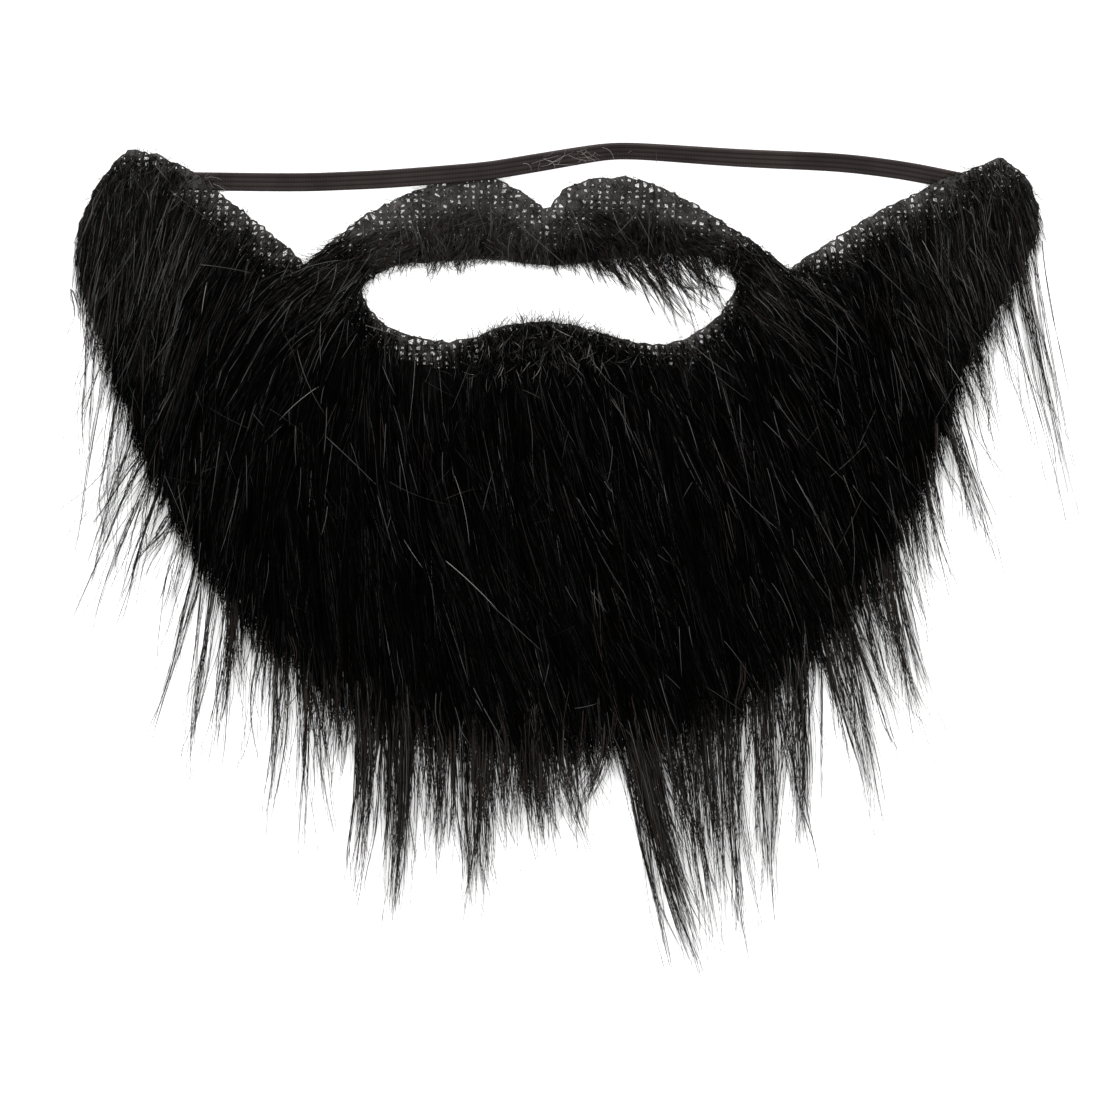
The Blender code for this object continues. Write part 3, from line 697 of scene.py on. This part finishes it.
def scattered(random, count, loop, density):
    """Points in a closed line, by chance and by density."""
    low, high = loop.min(0), loop.max(0)
    found = np.zeros((0, 2))
    while len(found) < count:
        points = random.uniform(low, high, (count * 3, 2))
        points = points[inside(points, loop)]
        points = points[random.uniform(0, 1, len(points)) < density(points)]
        found = np.concatenate([found, points])
    return found[:count]


def jittered(random, loop, step):
    """Points in a closed line, about a step apart."""
    low, high = loop.min(0) - step, loop.max(0) + step
    grid = np.stack(np.meshgrid(*(np.arange(a, b, step) for a, b in zip(low, high)), indexing="ij"), -1)
    points = grid.reshape(-1, 2)
    points = points + random.uniform(-0.5, 0.5, points.shape) * step
    return points[inside(points, loop)]


def nearest_index(points, centres):
    """Each point's nearest centre."""
    found = [((part[:, None] - centres) ** 2).sum(-1).argmin(1) for part in np.array_split(points, 24)]
    return np.concatenate(found)


def in_moustache(points):
    return inside(points, MOUSTACHE)


def body_lean(points):
    """The lean of the beard's pile: outwards on the sideburns, and to the right below the mouth."""
    place = points[..., 0] / HALF_WIDTH
    up = eased((points[..., 1] - SIDE_START) / SIDE_BLEND)
    return read(BODY_LEAN, place) * (1 - up) + read(SIDE_LEAN, place) * up


def bare_lip(points):
    """How clearly the knit shows below the mouth, from 0 to 1."""
    return sum(bare.value * np.exp(-(((points[..., 0] - bare.at) / BARE_WIDTH) ** 2)) for bare in BARE_LIP)


def body_density(points):
    """How thickly the beard's pile grows: thin on the margins where the knit shows."""
    cheek = eased(FROM_CHEEK(points) / CHEEK_THIN)
    lip = np.maximum(eased(FROM_LIP(points) / LIP_THIN), 1 - bare_lip(points))
    own = np.maximum(np.minimum(cheek, lip), 0.9 * eased(1.8 - FROM_BRIDGE(points) / BRIDGE_THIN))
    return np.where(inside(points, MOUTH) | in_moustache(points), 0, 0.25 + 0.75 * own)


def downward(points):
    """How squarely the nearest part of the outer edge faces the chin's side, from 0 to 1."""
    return eased((DOWN_FROM - points[..., 1]) / (DOWN_FROM - CHIN_EDGE))


# Beard

def body_hairs():
    """The beard's pile in tufts, as several pieces from left to right."""
    random = chance(0)
    count = BODY_HAIRS // 1
    roots = scattered(random, count, CLOTH, body_density)
    centres = jittered(random, CLOTH, TUFT_STEP)
    tufts = len(centres)
    tuft = nearest_index(roots, centres)
    lean = body_lean(centres) + random.normal(0, 6, tufts)
    length = TUFT_LENGTH * random.uniform(0.8, 1.15, tufts)
    guides = guide_lines(centres, lean, random.normal(0, 9, tufts), length)[tuft]
    margin = eased(np.minimum(FROM_CHEEK(roots), FROM_LIP(roots)) / SHORT_MARGIN)
    reach = random.uniform(0.45, 1.0, count) * (0.40 + 0.60 * margin)
    gather = random.uniform(0.0, 0.65, count)
    way = gathered(roots, guides, reach, gather, WAY_STEPS, random)
    overhang = OVERHANG * downward(centres) ** 1.3 * random.uniform(0.4, 1.5, tufts)
    cap = overhang[tuft] * random.uniform(0.6, 1.25, count) + random.exponential(0.0009, count)
    lines = cut_off(way, PAST_RIM(way) > cap[:, None], 0.25)
    layer = 0.45 + 0.62 * np.sqrt(random.uniform(0, 1, count))
    hairs = laid(lines, layer)
    # Hairs near the sideburns' tips take the paler mix and are thinner; the paler mix is painted sheen.
    lighter = random.uniform(0, 1, count) < eased(1.5 - FROM_TIPS(roots) / TIP_SHEEN)
    tones = two_mixes(random, lighter, TIP_TONES, PILE_TONES)
    width = widths(random, count, 0.7, 1.3) * np.where(lighter, 0.8, 1)
    part = np.digitize(roots[:, 0], np.quantile(roots[:, 0], (0.25, 0.5, 0.75)))
    for i, side in enumerate(("left", "middle_left", "middle_right", "right")):
        own = part == i
        ribbons(f"pile_{side}", hairs[own], width[own], tones[own], random)


def nearest_lock(share):
    """The main fringe lock that is nearest to a share of the outer edge."""
    return min(FRINGE, key=lambda lock: abs(lock.at - share))


def fringe_strings(random):
    """The lines in plan along which the fringe's hairs cling together, and how high each lies."""
    rows = list(FRINGE)
    for _ in range(THIN_LOCKS):
        share = random.uniform(0.09, 0.91)
        near = nearest_lock(share)
        length = near.length * random.uniform(0.3, 1.12)
        lean = near.lean + random.normal(0, 5)
        curl = near.curl + random.normal(0, 8)
        thick = 0.3 + 1.3 * eased(2 - abs(share - 0.55) / 0.16)  # more hairs over the chin
        hairs = near.hairs * random.uniform(0.03, 0.18) * thick
        rows.append((share, length, random.uniform(0.1, 0.6), lean, curl, hairs))
    table = np.array(rows)
    strings = np.ceil(table[:, 5] / STRING_HAIRS).astype(int)
    share, length, width, lean, curl, _ = np.repeat(table, strings, 0).T
    count = len(share)
    centre = at(RIM, share)
    guides = guide_lines(centre, lean, curl, PILE_LENGTH * length * 1.08, 12)
    way = unit(guides[:, 1] - guides[:, 0])
    side = np.stack([-way[:, 1], way[:, 0]], -1)
    back = random.uniform(-0.001, 0.012, count)
    across = random.normal(0, 0.36, count) * LOCK_WIDTH * width
    roots = centre + side * across[:, None] - way * back[:, None]
    reach = 1 - 0.72 * random.uniform(0, 1, count) ** 1.6
    gather = random.uniform(0.1, 0.85, count)
    lines = gathered(roots, guides, reach, gather, FRINGE_POINTS, random, 0.0015, 0.6)
    return lines, random.uniform(0.3, 1.0, count)


def fringe_hairs():
    """The locks past the outer edge and the thin ones between them, as strings of a few hairs each."""
    random = chance(1)
    strings, layer = fringe_strings(random)
    plan, own = clung(random, strings, STRING_HAIRS, 0.0005, FRINGE_POINTS)
    kept = within_reach(plan)
    plan, own = plan[kept], own[kept]
    count = len(own)
    hairs = laid(plan, layer[own], 0.2)
    hairs[..., 2] += random.uniform(0, 0.0014, count)[:, None]
    tones = tone_mix(random, count, FRINGE_TONES)
    width = widths(random, count, 0.75, 1.35)
    right = hairs[:, 0, 0] > 0
    ribbons("fringe_left", hairs[~right], width[~right], tones[~right], random)
    ribbons("fringe_right", hairs[right], width[right], tones[right], random)


def loose_hairs():
    """Single hairs that lie across the pile and catch the light."""
    random = chance(2)
    count = LOOSE_HAIRS

    def density(points):
        return np.where(inside(points, MOUTH), 0, 0.35 + 0.65 * (points[:, 1] > -0.03))

    roots = scattered(random, count, CLOTH, density)
    astray = random.uniform(0, 1, count) < 0.2
    turn = random.normal(6, 1, count) + random.normal(0, 1, count) * np.where(astray, 60, 13)
    length = np.minimum(0.004 + random.exponential(0.008, count), 0.021)
    guides = guide_lines(roots, body_lean(roots) + turn, random.normal(0, 12, count), length)
    hairs = laid(guides, np.ones(count), 0.05)
    hairs[..., 2] += random.uniform(0.0002, 0.0022, count)[:, None]
    strew("loose_hairs", hairs, LOOSE_TONES, 0.6, 1.0, random)


def fringe_strays():
    """Single hairs past the fringe."""
    random = chance(9)
    count = FRINGE_STRAYS
    share = random.uniform(0.11, 0.93, count)
    near = [nearest_lock(s) for s in share]
    lean = np.array([lock.lean for lock in near]) + random.normal(0, 9, count)
    length = PILE_LENGTH * np.array([lock.length for lock in near]) * random.uniform(0.5, 1.12, count)
    roots = at(RIM, share) + random.normal(0, 0.004, (count, 2))
    guides = guide_lines(roots, lean, random.normal(0, 11, count), length, FRINGE_POINTS)
    full = np.ones(count)
    lines = gathered(roots, guides, full, full * 0, FRINGE_POINTS, random, 0.0009)
    hairs = laid(lines, random.uniform(0.4, 1.0, count))[within_reach(lines)]
    strew("fringe_strays", hairs, STRAY_TONES, 0.6, 1.0, random)


def cover_hairs():
    """Short fine hairs over the knit: at the sideburns' tips, beside the mouth's corners, below the lip."""
    random = chance(10)
    count = COVER_HAIRS

    def density(points):
        tips = 0.55 * eased(1.6 - FROM_TIPS(points) / 0.012)
        bridge = eased(1.7 - FROM_BRIDGE(points) / 0.009)
        lip = 0.8 * eased(1.7 - FROM_LIP(points) / 0.006) * (1 - bare_lip(points))
        from_cheek = FROM_CHEEK(points)
        cheek = 0.35 * eased((from_cheek - 0.002) / 0.004) * eased(2 - from_cheek / 0.008)
        return np.where(inside(points, MOUTH), 0, np.maximum.reduce([tips, bridge, lip, cheek]))

    roots = scattered(random, count, CLOTH, density)
    lean = np.where(in_moustache(roots), moustache_lean(roots), body_lean(roots))
    lean = lean + random.normal(0, 26, count)
    curl = random.normal(0, 30, count)
    guides = guide_lines(roots, lean, curl, random.uniform(0.002, 0.0075, count), 4)
    hairs = laid(guides, random.uniform(0.3, 1.0, count), 0.3, 0.0006)
    # Near the tips the paler mix is painted sheen.
    tones = two_mixes(random, FROM_TIPS(roots) < 0.022, TIP_COVER_TONES, COVER_TONES)
    ribbons("cover_hairs", hairs, widths(random, count, 0.7, 1.2), tones, random)


def bridge_sweeps():
    """Hairs that sweep outwards from the moustache's ends, over the cloth beside the mouth's corners."""
    random = chance(11)
    lines = []
    for spot, lean in zip(BRIDGES, SWEEP_LEANS):
        shift = (0.002 * np.sign(-lean), 0.001)
        roots = spot + random.normal(0, 1, (SWEEP_HAIRS, 2)) * (0.0060, 0.0055) + shift
        roots = roots[inside(roots, CLOTH) & ~inside(roots, MOUTH)]
        count = len(roots)
        lean = lean + random.normal(0, 13, count)
        guides = guide_lines(roots, lean, -0.4 * lean, random.uniform(0.008, 0.026, count), 7)
        lines.append(guides[~inside(guides, MOUTH).any(1) & inside(guides, CLOTH).all(1)])
    lines = np.concatenate(lines)
    hairs = laid(lines, random.uniform(0.8, 1.1, len(lines)), 0.25, 0.0006)
    strew("bridge_sweeps", hairs, SWEEP_TONES, 0.7, 1.2, random)


def lip_tuft():
    """The short tuft below the middle of the mouth opening, which stands up over the lip."""
    random = chance(3)
    count = LIP_TUFT_HAIRS
    place = random.normal(LIP_TUFT_AT, LIP_TUFT_SPREAD, count)
    edge = np.interp(place, LIP[:, 0], LIP[:, 1])
    roots = np.stack([place, edge - random.uniform(0.0005, LIP_TUFT_DEPTH, count)], -1)
    rising = random.uniform(0, 1, count) < 0.55
    lean = np.where(rising, random.normal(165, 34, count), random.normal(10, 30, count))
    guides = guide_lines(roots, lean, random.normal(0, 40, count), random.uniform(0.003, 0.0085, count))
    share = np.linspace(0, 1, BODY_POINTS + 1)
    hairs = laid(along(guides, share[None].repeat(count, 0)), random.uniform(0.5, 1.1, count), 0.5)
    hairs[..., 2] += random.uniform(0.0005, 0.004, count)[:, None] * share
    strew("lip_tuft", hairs, LIP_TUFT_TONES, 0.7, 1.1, random)


def edge_fuzz():
    """Short cut fibres along the edges of the knit."""
    random = chance(4)
    count = FUZZ_FIBRES
    lines = [BROW, np.concatenate([MOUTH, MOUTH[:1]])]
    sizes = [line_length(line)[-1] for line in lines]
    upper = random.uniform(0, 1, (count, 1)) < sizes[0] / sum(sizes)
    share = random.uniform(0, 1, count)
    roots = np.where(upper, at(lines[0], share), at(lines[1], share)) + random.normal(0, 0.0007, (count, 2))
    length = random.uniform(0.0008, 0.0022, count)
    plan = guide_lines(roots, random.uniform(-180, 180, count), random.normal(0, 60, count), length, 3)
    hairs = on_cloth(plan, random.uniform(0, 0.0008, count))
    strew("cut_edge_fuzz", hairs, FUZZ_TONES, 0.5, 0.8, random)


def knit_fibres():
    """Fine fibres that lie over the open knit and blur its stitches."""
    random = chance(12)
    count = KNIT_FIBRES

    def density(points):
        margin = np.minimum(FROM_CHEEK(points) / OPEN_CHEEK, FROM_LIP(points) / OPEN_LIP)
        open_knit = np.where(in_moustache(points), 0.85, eased(1.25 - margin))
        return np.where(inside(points, MOUTH), 0, open_knit)

    roots = scattered(random, count, CLOTH, density)
    lean = random.normal(0, 50, count) + 18 * np.sign(roots[:, 0])
    length = 0.0014 + random.exponential(0.0022, count)
    plan = guide_lines(roots, lean, random.normal(0, 55, count), np.minimum(length, 0.009), 4)
    hairs = on_cloth(plan, random.uniform(0.0001, 0.0012, count))
    # The paler mix on the lobes, most on the left, is partly pale fuzz and partly painted sheen.
    pale_share = np.where(roots[:, 0] < 0, 0.85, 0.5)
    pale = in_moustache(roots) & (random.uniform(0, 1, count) < pale_share)
    tones = two_mixes(random, pale, PALE_KNIT_TONES, KNIT_TONES)
    ribbons("knit_fibres", hairs, widths(random, count, 0.45, 0.95), tones, random)


# Moustache

def moustache_lean(points):
    """Away from the middle on both lobes."""
    place = points[..., 0] / LOBES[:, 0].max()
    return np.where(place < 0, -8 + 34 * place, 8 + 34 * place)


def lobe_depth(points):
    """The share of the way from the lobes' upper edge down to the mouth opening."""
    return FROM_LOBES(points) / (FROM_LOBES(points) + FROM_MOUTH_TOP(points))


def moustache_hairs(random):
    """The moustache's short matted pile, on the lower part of both lobes."""
    count = MOUSTACHE_HAIRS

    def density(points):
        return 0.08 + 0.92 * eased((lobe_depth(points) - 0.24) / 0.34)

    roots = scattered(random, count, MOUSTACHE, density)
    centres = jittered(random, MOUSTACHE, MOUSTACHE_TUFT_STEP)
    tufts = len(centres)
    tuft = nearest_index(roots, centres)
    lean = moustache_lean(centres) + random.normal(0, 26, tufts)
    guides = guide_lines(centres, lean, random.normal(0, 20, tufts), random.uniform(0.004, 0.007, tufts))
    reach = random.uniform(0.4, 1.0, count)
    gather = random.uniform(-0.6, 0.4, count)
    way = gathered(roots, guides[tuft], reach, gather, WAY_STEPS, random, 0.0006)
    out = inside(way, MOUTH) & (FROM_MOUTH_TOP(way) > random.exponential(0.0007, count)[:, None])
    hairs = laid(cut_off(way, out, 0.2), 0.35 + 0.7 * random.uniform(0, 1, count))
    tones = two_mixes(random, roots[:, 0] < 0, LEFT_LOBE_TONES, RIGHT_LOBE_TONES)
    ribbons("moustache_hairs", hairs, widths(random, count, 0.5, 0.85), tones, random)


def moustache_strays(random):
    """Single grey hairs that lie over the moustache."""
    count = MOUSTACHE_STRAYS
    roots = scattered(random, count, MOUSTACHE, lambda points: (FROM_MOUTH_TOP(points) > 0.006) * 1.0)
    length = random.uniform(0.006, 0.016, count)
    guides = guide_lines(roots, random.normal(0, 55, count), random.normal(0, 45, count), length)
    hairs = laid(guides, np.ones(count), 0.2, 0.0012)
    ribbons("moustache_strays", hairs, widths(random, count, 0.8, 1.1), np.full(count, GREY), random)


def mouth_wisps():
    """Thin wisps that hang from the moustache into the mouth opening."""
    random = chance(6)
    table = np.array(MOUTH_WISPS)
    across, length, lean, _ = np.repeat(table, (table[:, 3] / STRING_HAIRS).astype(int), 0).T
    count = len(across)
    place = across * LOBES[:, 0].max() + random.normal(0, 0.0018, count)
    edge = np.interp(place, MOUTH_TOP[:, 0], MOUTH_TOP[:, 1])
    roots = np.stack([place, edge + random.uniform(0, 0.004, count)], -1)
    lean = lean + random.normal(0, 8, count)
    curl = random.normal(0, 24, count)
    guides = guide_lines(roots, lean, curl, length * random.uniform(0.45, 1.2, count), 9)
    full = np.ones(count)
    strings = gathered(roots, guides, full, full * 0, 9, random, 0.0010)
    plan, own = clung(random, strings, STRING_HAIRS, 0.0004, 8)
    hairs = laid(plan, random.uniform(0.4, 0.9, count)[own], 0.3)
    strew("mouth_wisps", hairs, WISP_TONES, 0.7, 1.15, random)


# Dense pile under the hairs

def underfur(name, node, keep, share):
    """The pile's dark depth: a sheet over some of the map's points, at a share of the form's height."""
    i, j = np.nonzero(keep)
    index = np.full(keep.shape, -1)
    index[i, j] = np.arange(len(i))
    full = keep[:-1, :-1] & keep[1:, :-1] & keep[1:, 1:] & keep[:-1, 1:]
    a, b = np.nonzero(full)
    faces = np.stack([index[a, b], index[a + 1, b], index[a + 1, b + 1], index[a, b + 1]], -1)
    shrunk = keep & np.roll(keep, 1, 0) & np.roll(keep, -1, 0) & np.roll(keep, 1, 1) & np.roll(keep, -1, 1)
    points = Map.points[i, j]
    ridges = np.sin(points[:, 0] * RIDGES + np.sin(points[:, 1] * RIDGE_WAVES) * 2) * RIDGE_RISE
    raised = np.maximum(FORM(points) * share + ridges, SHEET_TOP)
    z = np.where(shrunk[i, j], raised, SHEET_TOP) + lift(points)
    spots = np.concatenate([points, z[:, None]], -1)
    mesh = mesh_of(name, spots, faces.ravel(), np.arange(len(faces)) * 4)
    made = show(name, mesh, [UNDERFUR])
    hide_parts(node)


def dense_pile():
    """The underfur of the beard and of the moustache, away from the bare knit and the outer edge."""
    lobes = in_moustache(Map.points)
    deep = (PAST_RIM.values < -0.003) & (FROM_CHEEK.values > 0.009) & (FROM_LIP.values > 0.006)
    underfur("beard_underfur", "beard_fur", GRID_INSIDE & ~lobes & deep, 0.55)
    low = (lobe_depth(Map.points) > 0.70) & (FROM_MOUTH_TOP.values > 0.0008)
    underfur("moustache_underfur", "moustache_fur", lobes & low, 0.45)


# Knit

def openness(points):
    """How wide the stitches are: open along the free edges, nearly closed further in."""
    edge = np.minimum(FROM_LOBES(points), np.minimum(FROM_CHEEK(points), FROM_LIP(points)))
    return 1.0 - 0.68 * eased((edge - 0.003) / 0.008)


def knit_cloth():
    """The knitted cloth: open stitches where the knit shows, closed ones under the dense pile."""
    random = chance(7)
    pitch = np.array([WALE, COURSE])
    low = CLOTH.min(0) - pitch
    size = np.ceil((CLOTH.max(0) - low) / pitch).astype(int) + 1
    grid = np.moveaxis(np.indices(size + 1), 0, -1)
    middles = low + (grid[:-1, :-1] + 0.5) * pitch
    kept = inside(middles, CLOTH) & ~inside(middles, MOUTH)

    corners = low + grid * pitch
    corners = corners + WARP * np.sin(corners @ [[60, 190], [230, -90]])
    ring = np.pad(kept, 1).astype(int)
    cells_there = ring[:-1, :-1] + ring[1:, :-1] + ring[:-1, 1:] + ring[1:, 1:]
    outlines = [np.concatenate([loop, loop[:1]]) for loop in (CLOTH, MOUTH)]
    rim = (cells_there > 0) & (cells_there < 4)
    corners[rim] = nearest(corners[rim], *outlines)[1] + random.normal(0, SCALLOP, (rim.sum(), 2))

    index = np.arange(cells_there.size).reshape(cells_there.shape)
    around = np.stack([index[:-1, :-1], index[1:, :-1], index[1:, 1:], index[:-1, 1:]], -1)
    open_cell = in_moustache(middles) | (FROM_CHEEK(middles) < OPEN_CHEEK) | (FROM_LIP(middles) < OPEN_LIP)
    closed, opened = around[kept & ~open_cell], around[kept & open_cell]
    corners = corners.reshape(-1, 2)
    place = corners[opened]
    centre = place.mean(1, keepdims=True)
    scale = (openness(centre[:, 0]) * random.uniform(*HOLE_SPREAD, len(opened)))[:, None, None]
    rims = centre + (place - centre) * HOLE * scale + random.normal(0, HOLE_JITTER, place.shape) * scale
    rim_index = np.arange(len(opened) * 4).reshape(-1, 4) + len(corners)
    after, rim_after = np.roll(opened, -1, 1), np.roll(rim_index, -1, 1)
    faces = np.concatenate([np.stack([opened, after, rim_after, rim_index], -1).reshape(-1, 4), closed])

    plan = np.concatenate([corners, rims.reshape(-1, 2)])
    height = SHEET_TOP + lift(plan) + YARN_RISE * (np.arange(len(plan)) < len(corners))
    used, faces = np.unique(faces, return_inverse=True)
    spots = np.concatenate([plan, height[:, None]], -1)[used]
    mesh = mesh_of("knit_cloth", spots, faces.ravel(), np.arange(faces.size // 4) * 4)
    made = show("knit_cloth", mesh, [KNIT])
    wall = made.modifiers.new("sheet", "SOLIDIFY")
    wall.thickness = SHEET_THICKNESS
    wall.offset = -1
    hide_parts("knit_backing")


# Strap

def strap_rings():
    """The strap's middle line, the two directions of its section and its half sizes, from its solid."""
    spots, _ = triangles("elastic_strap")
    rings = spots[np.argsort(spots[:, 0])].reshape(-1, 4, 3)
    middle = rings.mean(1)
    away = rings - middle[:, None]
    far = away[np.arange(len(rings)), (away[..., 1] + away[..., 2] * 0.2).argmax(1)]
    way = unit(np.gradient(middle, axis=0))
    low = np.array([np.linalg.svd(a)[2] for a in away])
    side = low[:, 0] * np.sign((low[:, 0] * far).sum(1, keepdims=True))
    up = unit(np.cross(way, side))
    half = np.abs((away * side[:, None]).sum(-1)).mean(1), np.abs((away * up[:, None]).sum(-1)).mean(1)
    return middle, side, up, half


def strap_band():
    """The woven elastic, with ribs along it on both faces."""
    middle, side, up, (half_width, half_thickness) = strap_rings()
    gone = line_length(middle)
    stops = np.linspace(0, gone[-1], int(gone[-1] / STRAP_SPACING))

    def smooth(values):
        soft = np.stack([np.interp(stops, gone, v) for v in values.T], -1)
        for _ in range(12):
            soft[1:-1] = (soft[:-2] + 2 * soft[1:-1] + soft[2:]) / 4
        return soft

    line, side, up = smooth(middle), unit(smooth(side)), unit(smooth(up))
    across = np.linspace(-1, 1, RIBS * RIB_POINTS + 1)
    rib = np.abs(np.sin((across + 1) / 2 * math.pi * RIBS)) ** 0.5
    # Faces between the ribs take the painted groove shade.
    kinds = np.where(rib[1:] + rib[:-1] < 1.3, GROOVE_SHADE, RIB)
    # The selvedges take the painted backlight.
    kinds[-2:] = SELVEDGE_BACKLIT
    kinds = np.concatenate([kinds, kinds[::-1]])
    edge = np.sqrt(np.clip(1 - np.abs(across) ** 12, 0, 1))
    height = (half_thickness.mean() - GROOVE * (1 - rib)) * edge
    top, bottom = np.stack([across, height], -1), np.stack([across, -height], -1)
    profile = np.concatenate([top, bottom[::-1][1:-1]])
    spots = line[:, None] + side[:, None] * profile[:, :1] * half_width.mean() + up[:, None] * profile[:, 1:]
    rings, around = spots.shape[:2]
    i, j = np.indices((rings - 1, around))
    k = (j + 1) % around
    faces = np.stack([i * around + j, i * around + k, (i + 1) * around + k, (i + 1) * around + j], -1)
    first_end, last_end = np.arange(around)[::-1], np.arange(around) + (rings - 1) * around
    corners = np.concatenate([faces.ravel(), first_end, last_end])
    starts = np.concatenate([np.arange(faces.size // 4) * 4, [faces.size, faces.size + around]])
    kinds = np.concatenate([np.tile(kinds, rings - 1), [RIB, RIB]])
    mesh = mesh_of("strap_band", spots.reshape(-1, 3), corners, starts, kinds)
    made = show("strap_band", mesh, ELASTIC)
    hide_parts("elastic_strap")
    return line, side, up


def strap_stitches(line, side):
    """The zigzag of black thread that holds each end of the strap, through the cloth above it."""
    random = chance(13)
    lengthwise = (np.arange(STITCHES) % 2)[:, None] * 2 - 1
    crosswise = np.linspace(-1, 1, STITCHES)[:, None]
    rows = []
    for end, way in ((STRAP_END, line[1] - line[0]), (-STRAP_END - 1, line[-1] - line[-2])):
        along_strap, across = unit(way[:2]), unit(side[end][:2])
        row = line[end][:2] + lengthwise * STITCH_LENGTH / 2 * along_strap + crosswise * SEAM_HALF * across
        rows.append(row)
    runs = np.concatenate([np.stack([row[:-1], row[1:]], 1) for row in rows])
    share = np.linspace(0, 1, 4)[None, :, None]
    plan = runs[:, :1] * (1 - share) + runs[:, 1:] * share
    count = len(plan)
    thread = on_cloth(plan, np.full(count, THREAD_RISE))
    ribbons("strap_stitches", thread, np.full(count, THREAD_WIDTH), np.full(count, DARK), random)


def strap_lint(line, side, up):
    """Hairs caught on the strap's middle and on its left end."""
    random = chance(8)
    count = sum(caught.hairs for caught in LINT)
    middle, left = [random.normal(caught.at, caught.spread, count) for caught in LINT]
    spot = np.where(np.arange(count) < LINT[0].hairs, middle, left)
    own = np.clip(spot * len(line), 1, len(line) - 2).astype(int)
    across = random.uniform(-LINT_WIDTH, LINT_WIDTH, (count, 1))
    roots = line[own] + side[own] * across + up[own] * LINT_HEIGHT
    length = random.uniform(0.003, 0.009, count)
    plan = guide_lines(roots[:, :2], random.normal(80, 45, count), random.normal(0, 110, count), length, 7)
    z = roots[:, 2:] + random.uniform(0, 0.0005, (count, 1)) + np.zeros((1, 8))
    hairs = np.concatenate([plan, z[..., None]], -1)
    ribbons("strap_lint", hairs, widths(random, count, 0.5, 0.7), np.full(count, PALE), random)


# Light, floor and camera

def lamp(name, place, size, power):
    """A square lamp that faces the beard."""
    light = bpy.data.lights.new(name, "AREA")
    light.size = size
    light.energy = power
    made = bpy.data.objects.new(name, light)
    made.location = place
    made.rotation_euler = (-Vector(place)).to_track_quat("-Z", "Y").to_euler()
    bpy.context.scene.collection.objects.link(made)


def studio():
    mesh = bpy.data.meshes.new("floor")
    mesh.from_pydata([(-3, -3, 0), (3, -3, 0), (3, 3, 0), (-3, 3, 0)], [], [(0, 1, 2, 3)])
    floor = bpy.data.objects.new("floor", mesh)
    finish, tree, shader, _ = new_material("floor", (0.92, 0.92, 0.92), 0.9, 0.1)
    feed(tree, shader, Emission_Color=(1, 1, 1, 1), Emission_Strength=0.5)
    mesh.materials.append(finish)
    bpy.context.scene.collection.objects.link(floor)

    world = bpy.data.worlds.new("studio")
    world.use_nodes = True
    feed(world.node_tree, world.node_tree.nodes["Background"], Color=(1, 1, 1, 1), Strength=1.0)
    bpy.context.scene.world = world
    lamp("key", (-0.7, 0.6, 1.1), 0.7, 9)
    lamp("fill", (0.9, -0.4, 0.9), 0.9, 4)

    lens = bpy.data.cameras.new("camera")
    lens.sensor_width = SENSOR * 1000
    lens.lens = SENSOR * 1000 * CAMERA_HEIGHT / PICTURE_WIDTH
    camera = bpy.data.objects.new("camera", lens)
    camera.location = (*PICTURE_CENTRE, CAMERA_HEIGHT)
    bpy.context.scene.collection.objects.link(camera)
    bpy.context.scene.camera = camera
    bpy.context.scene.view_settings.view_transform = "Standard"


knit_cloth()
dense_pile()
body_hairs()
fringe_hairs()
lip_tuft()
LOBE_CHANCE = chance(5)
moustache_hairs(LOBE_CHANCE)
moustache_strays(LOBE_CHANCE)
mouth_wisps()
cover_hairs()
bridge_sweeps()
edge_fuzz()
knit_fibres()
loose_hairs()
fringe_strays()
STRAP_LINE, STRAP_SIDE, STRAP_UP = strap_band()
strap_stitches(STRAP_LINE, STRAP_SIDE)
strap_lint(STRAP_LINE, STRAP_SIDE, STRAP_UP)
studio()
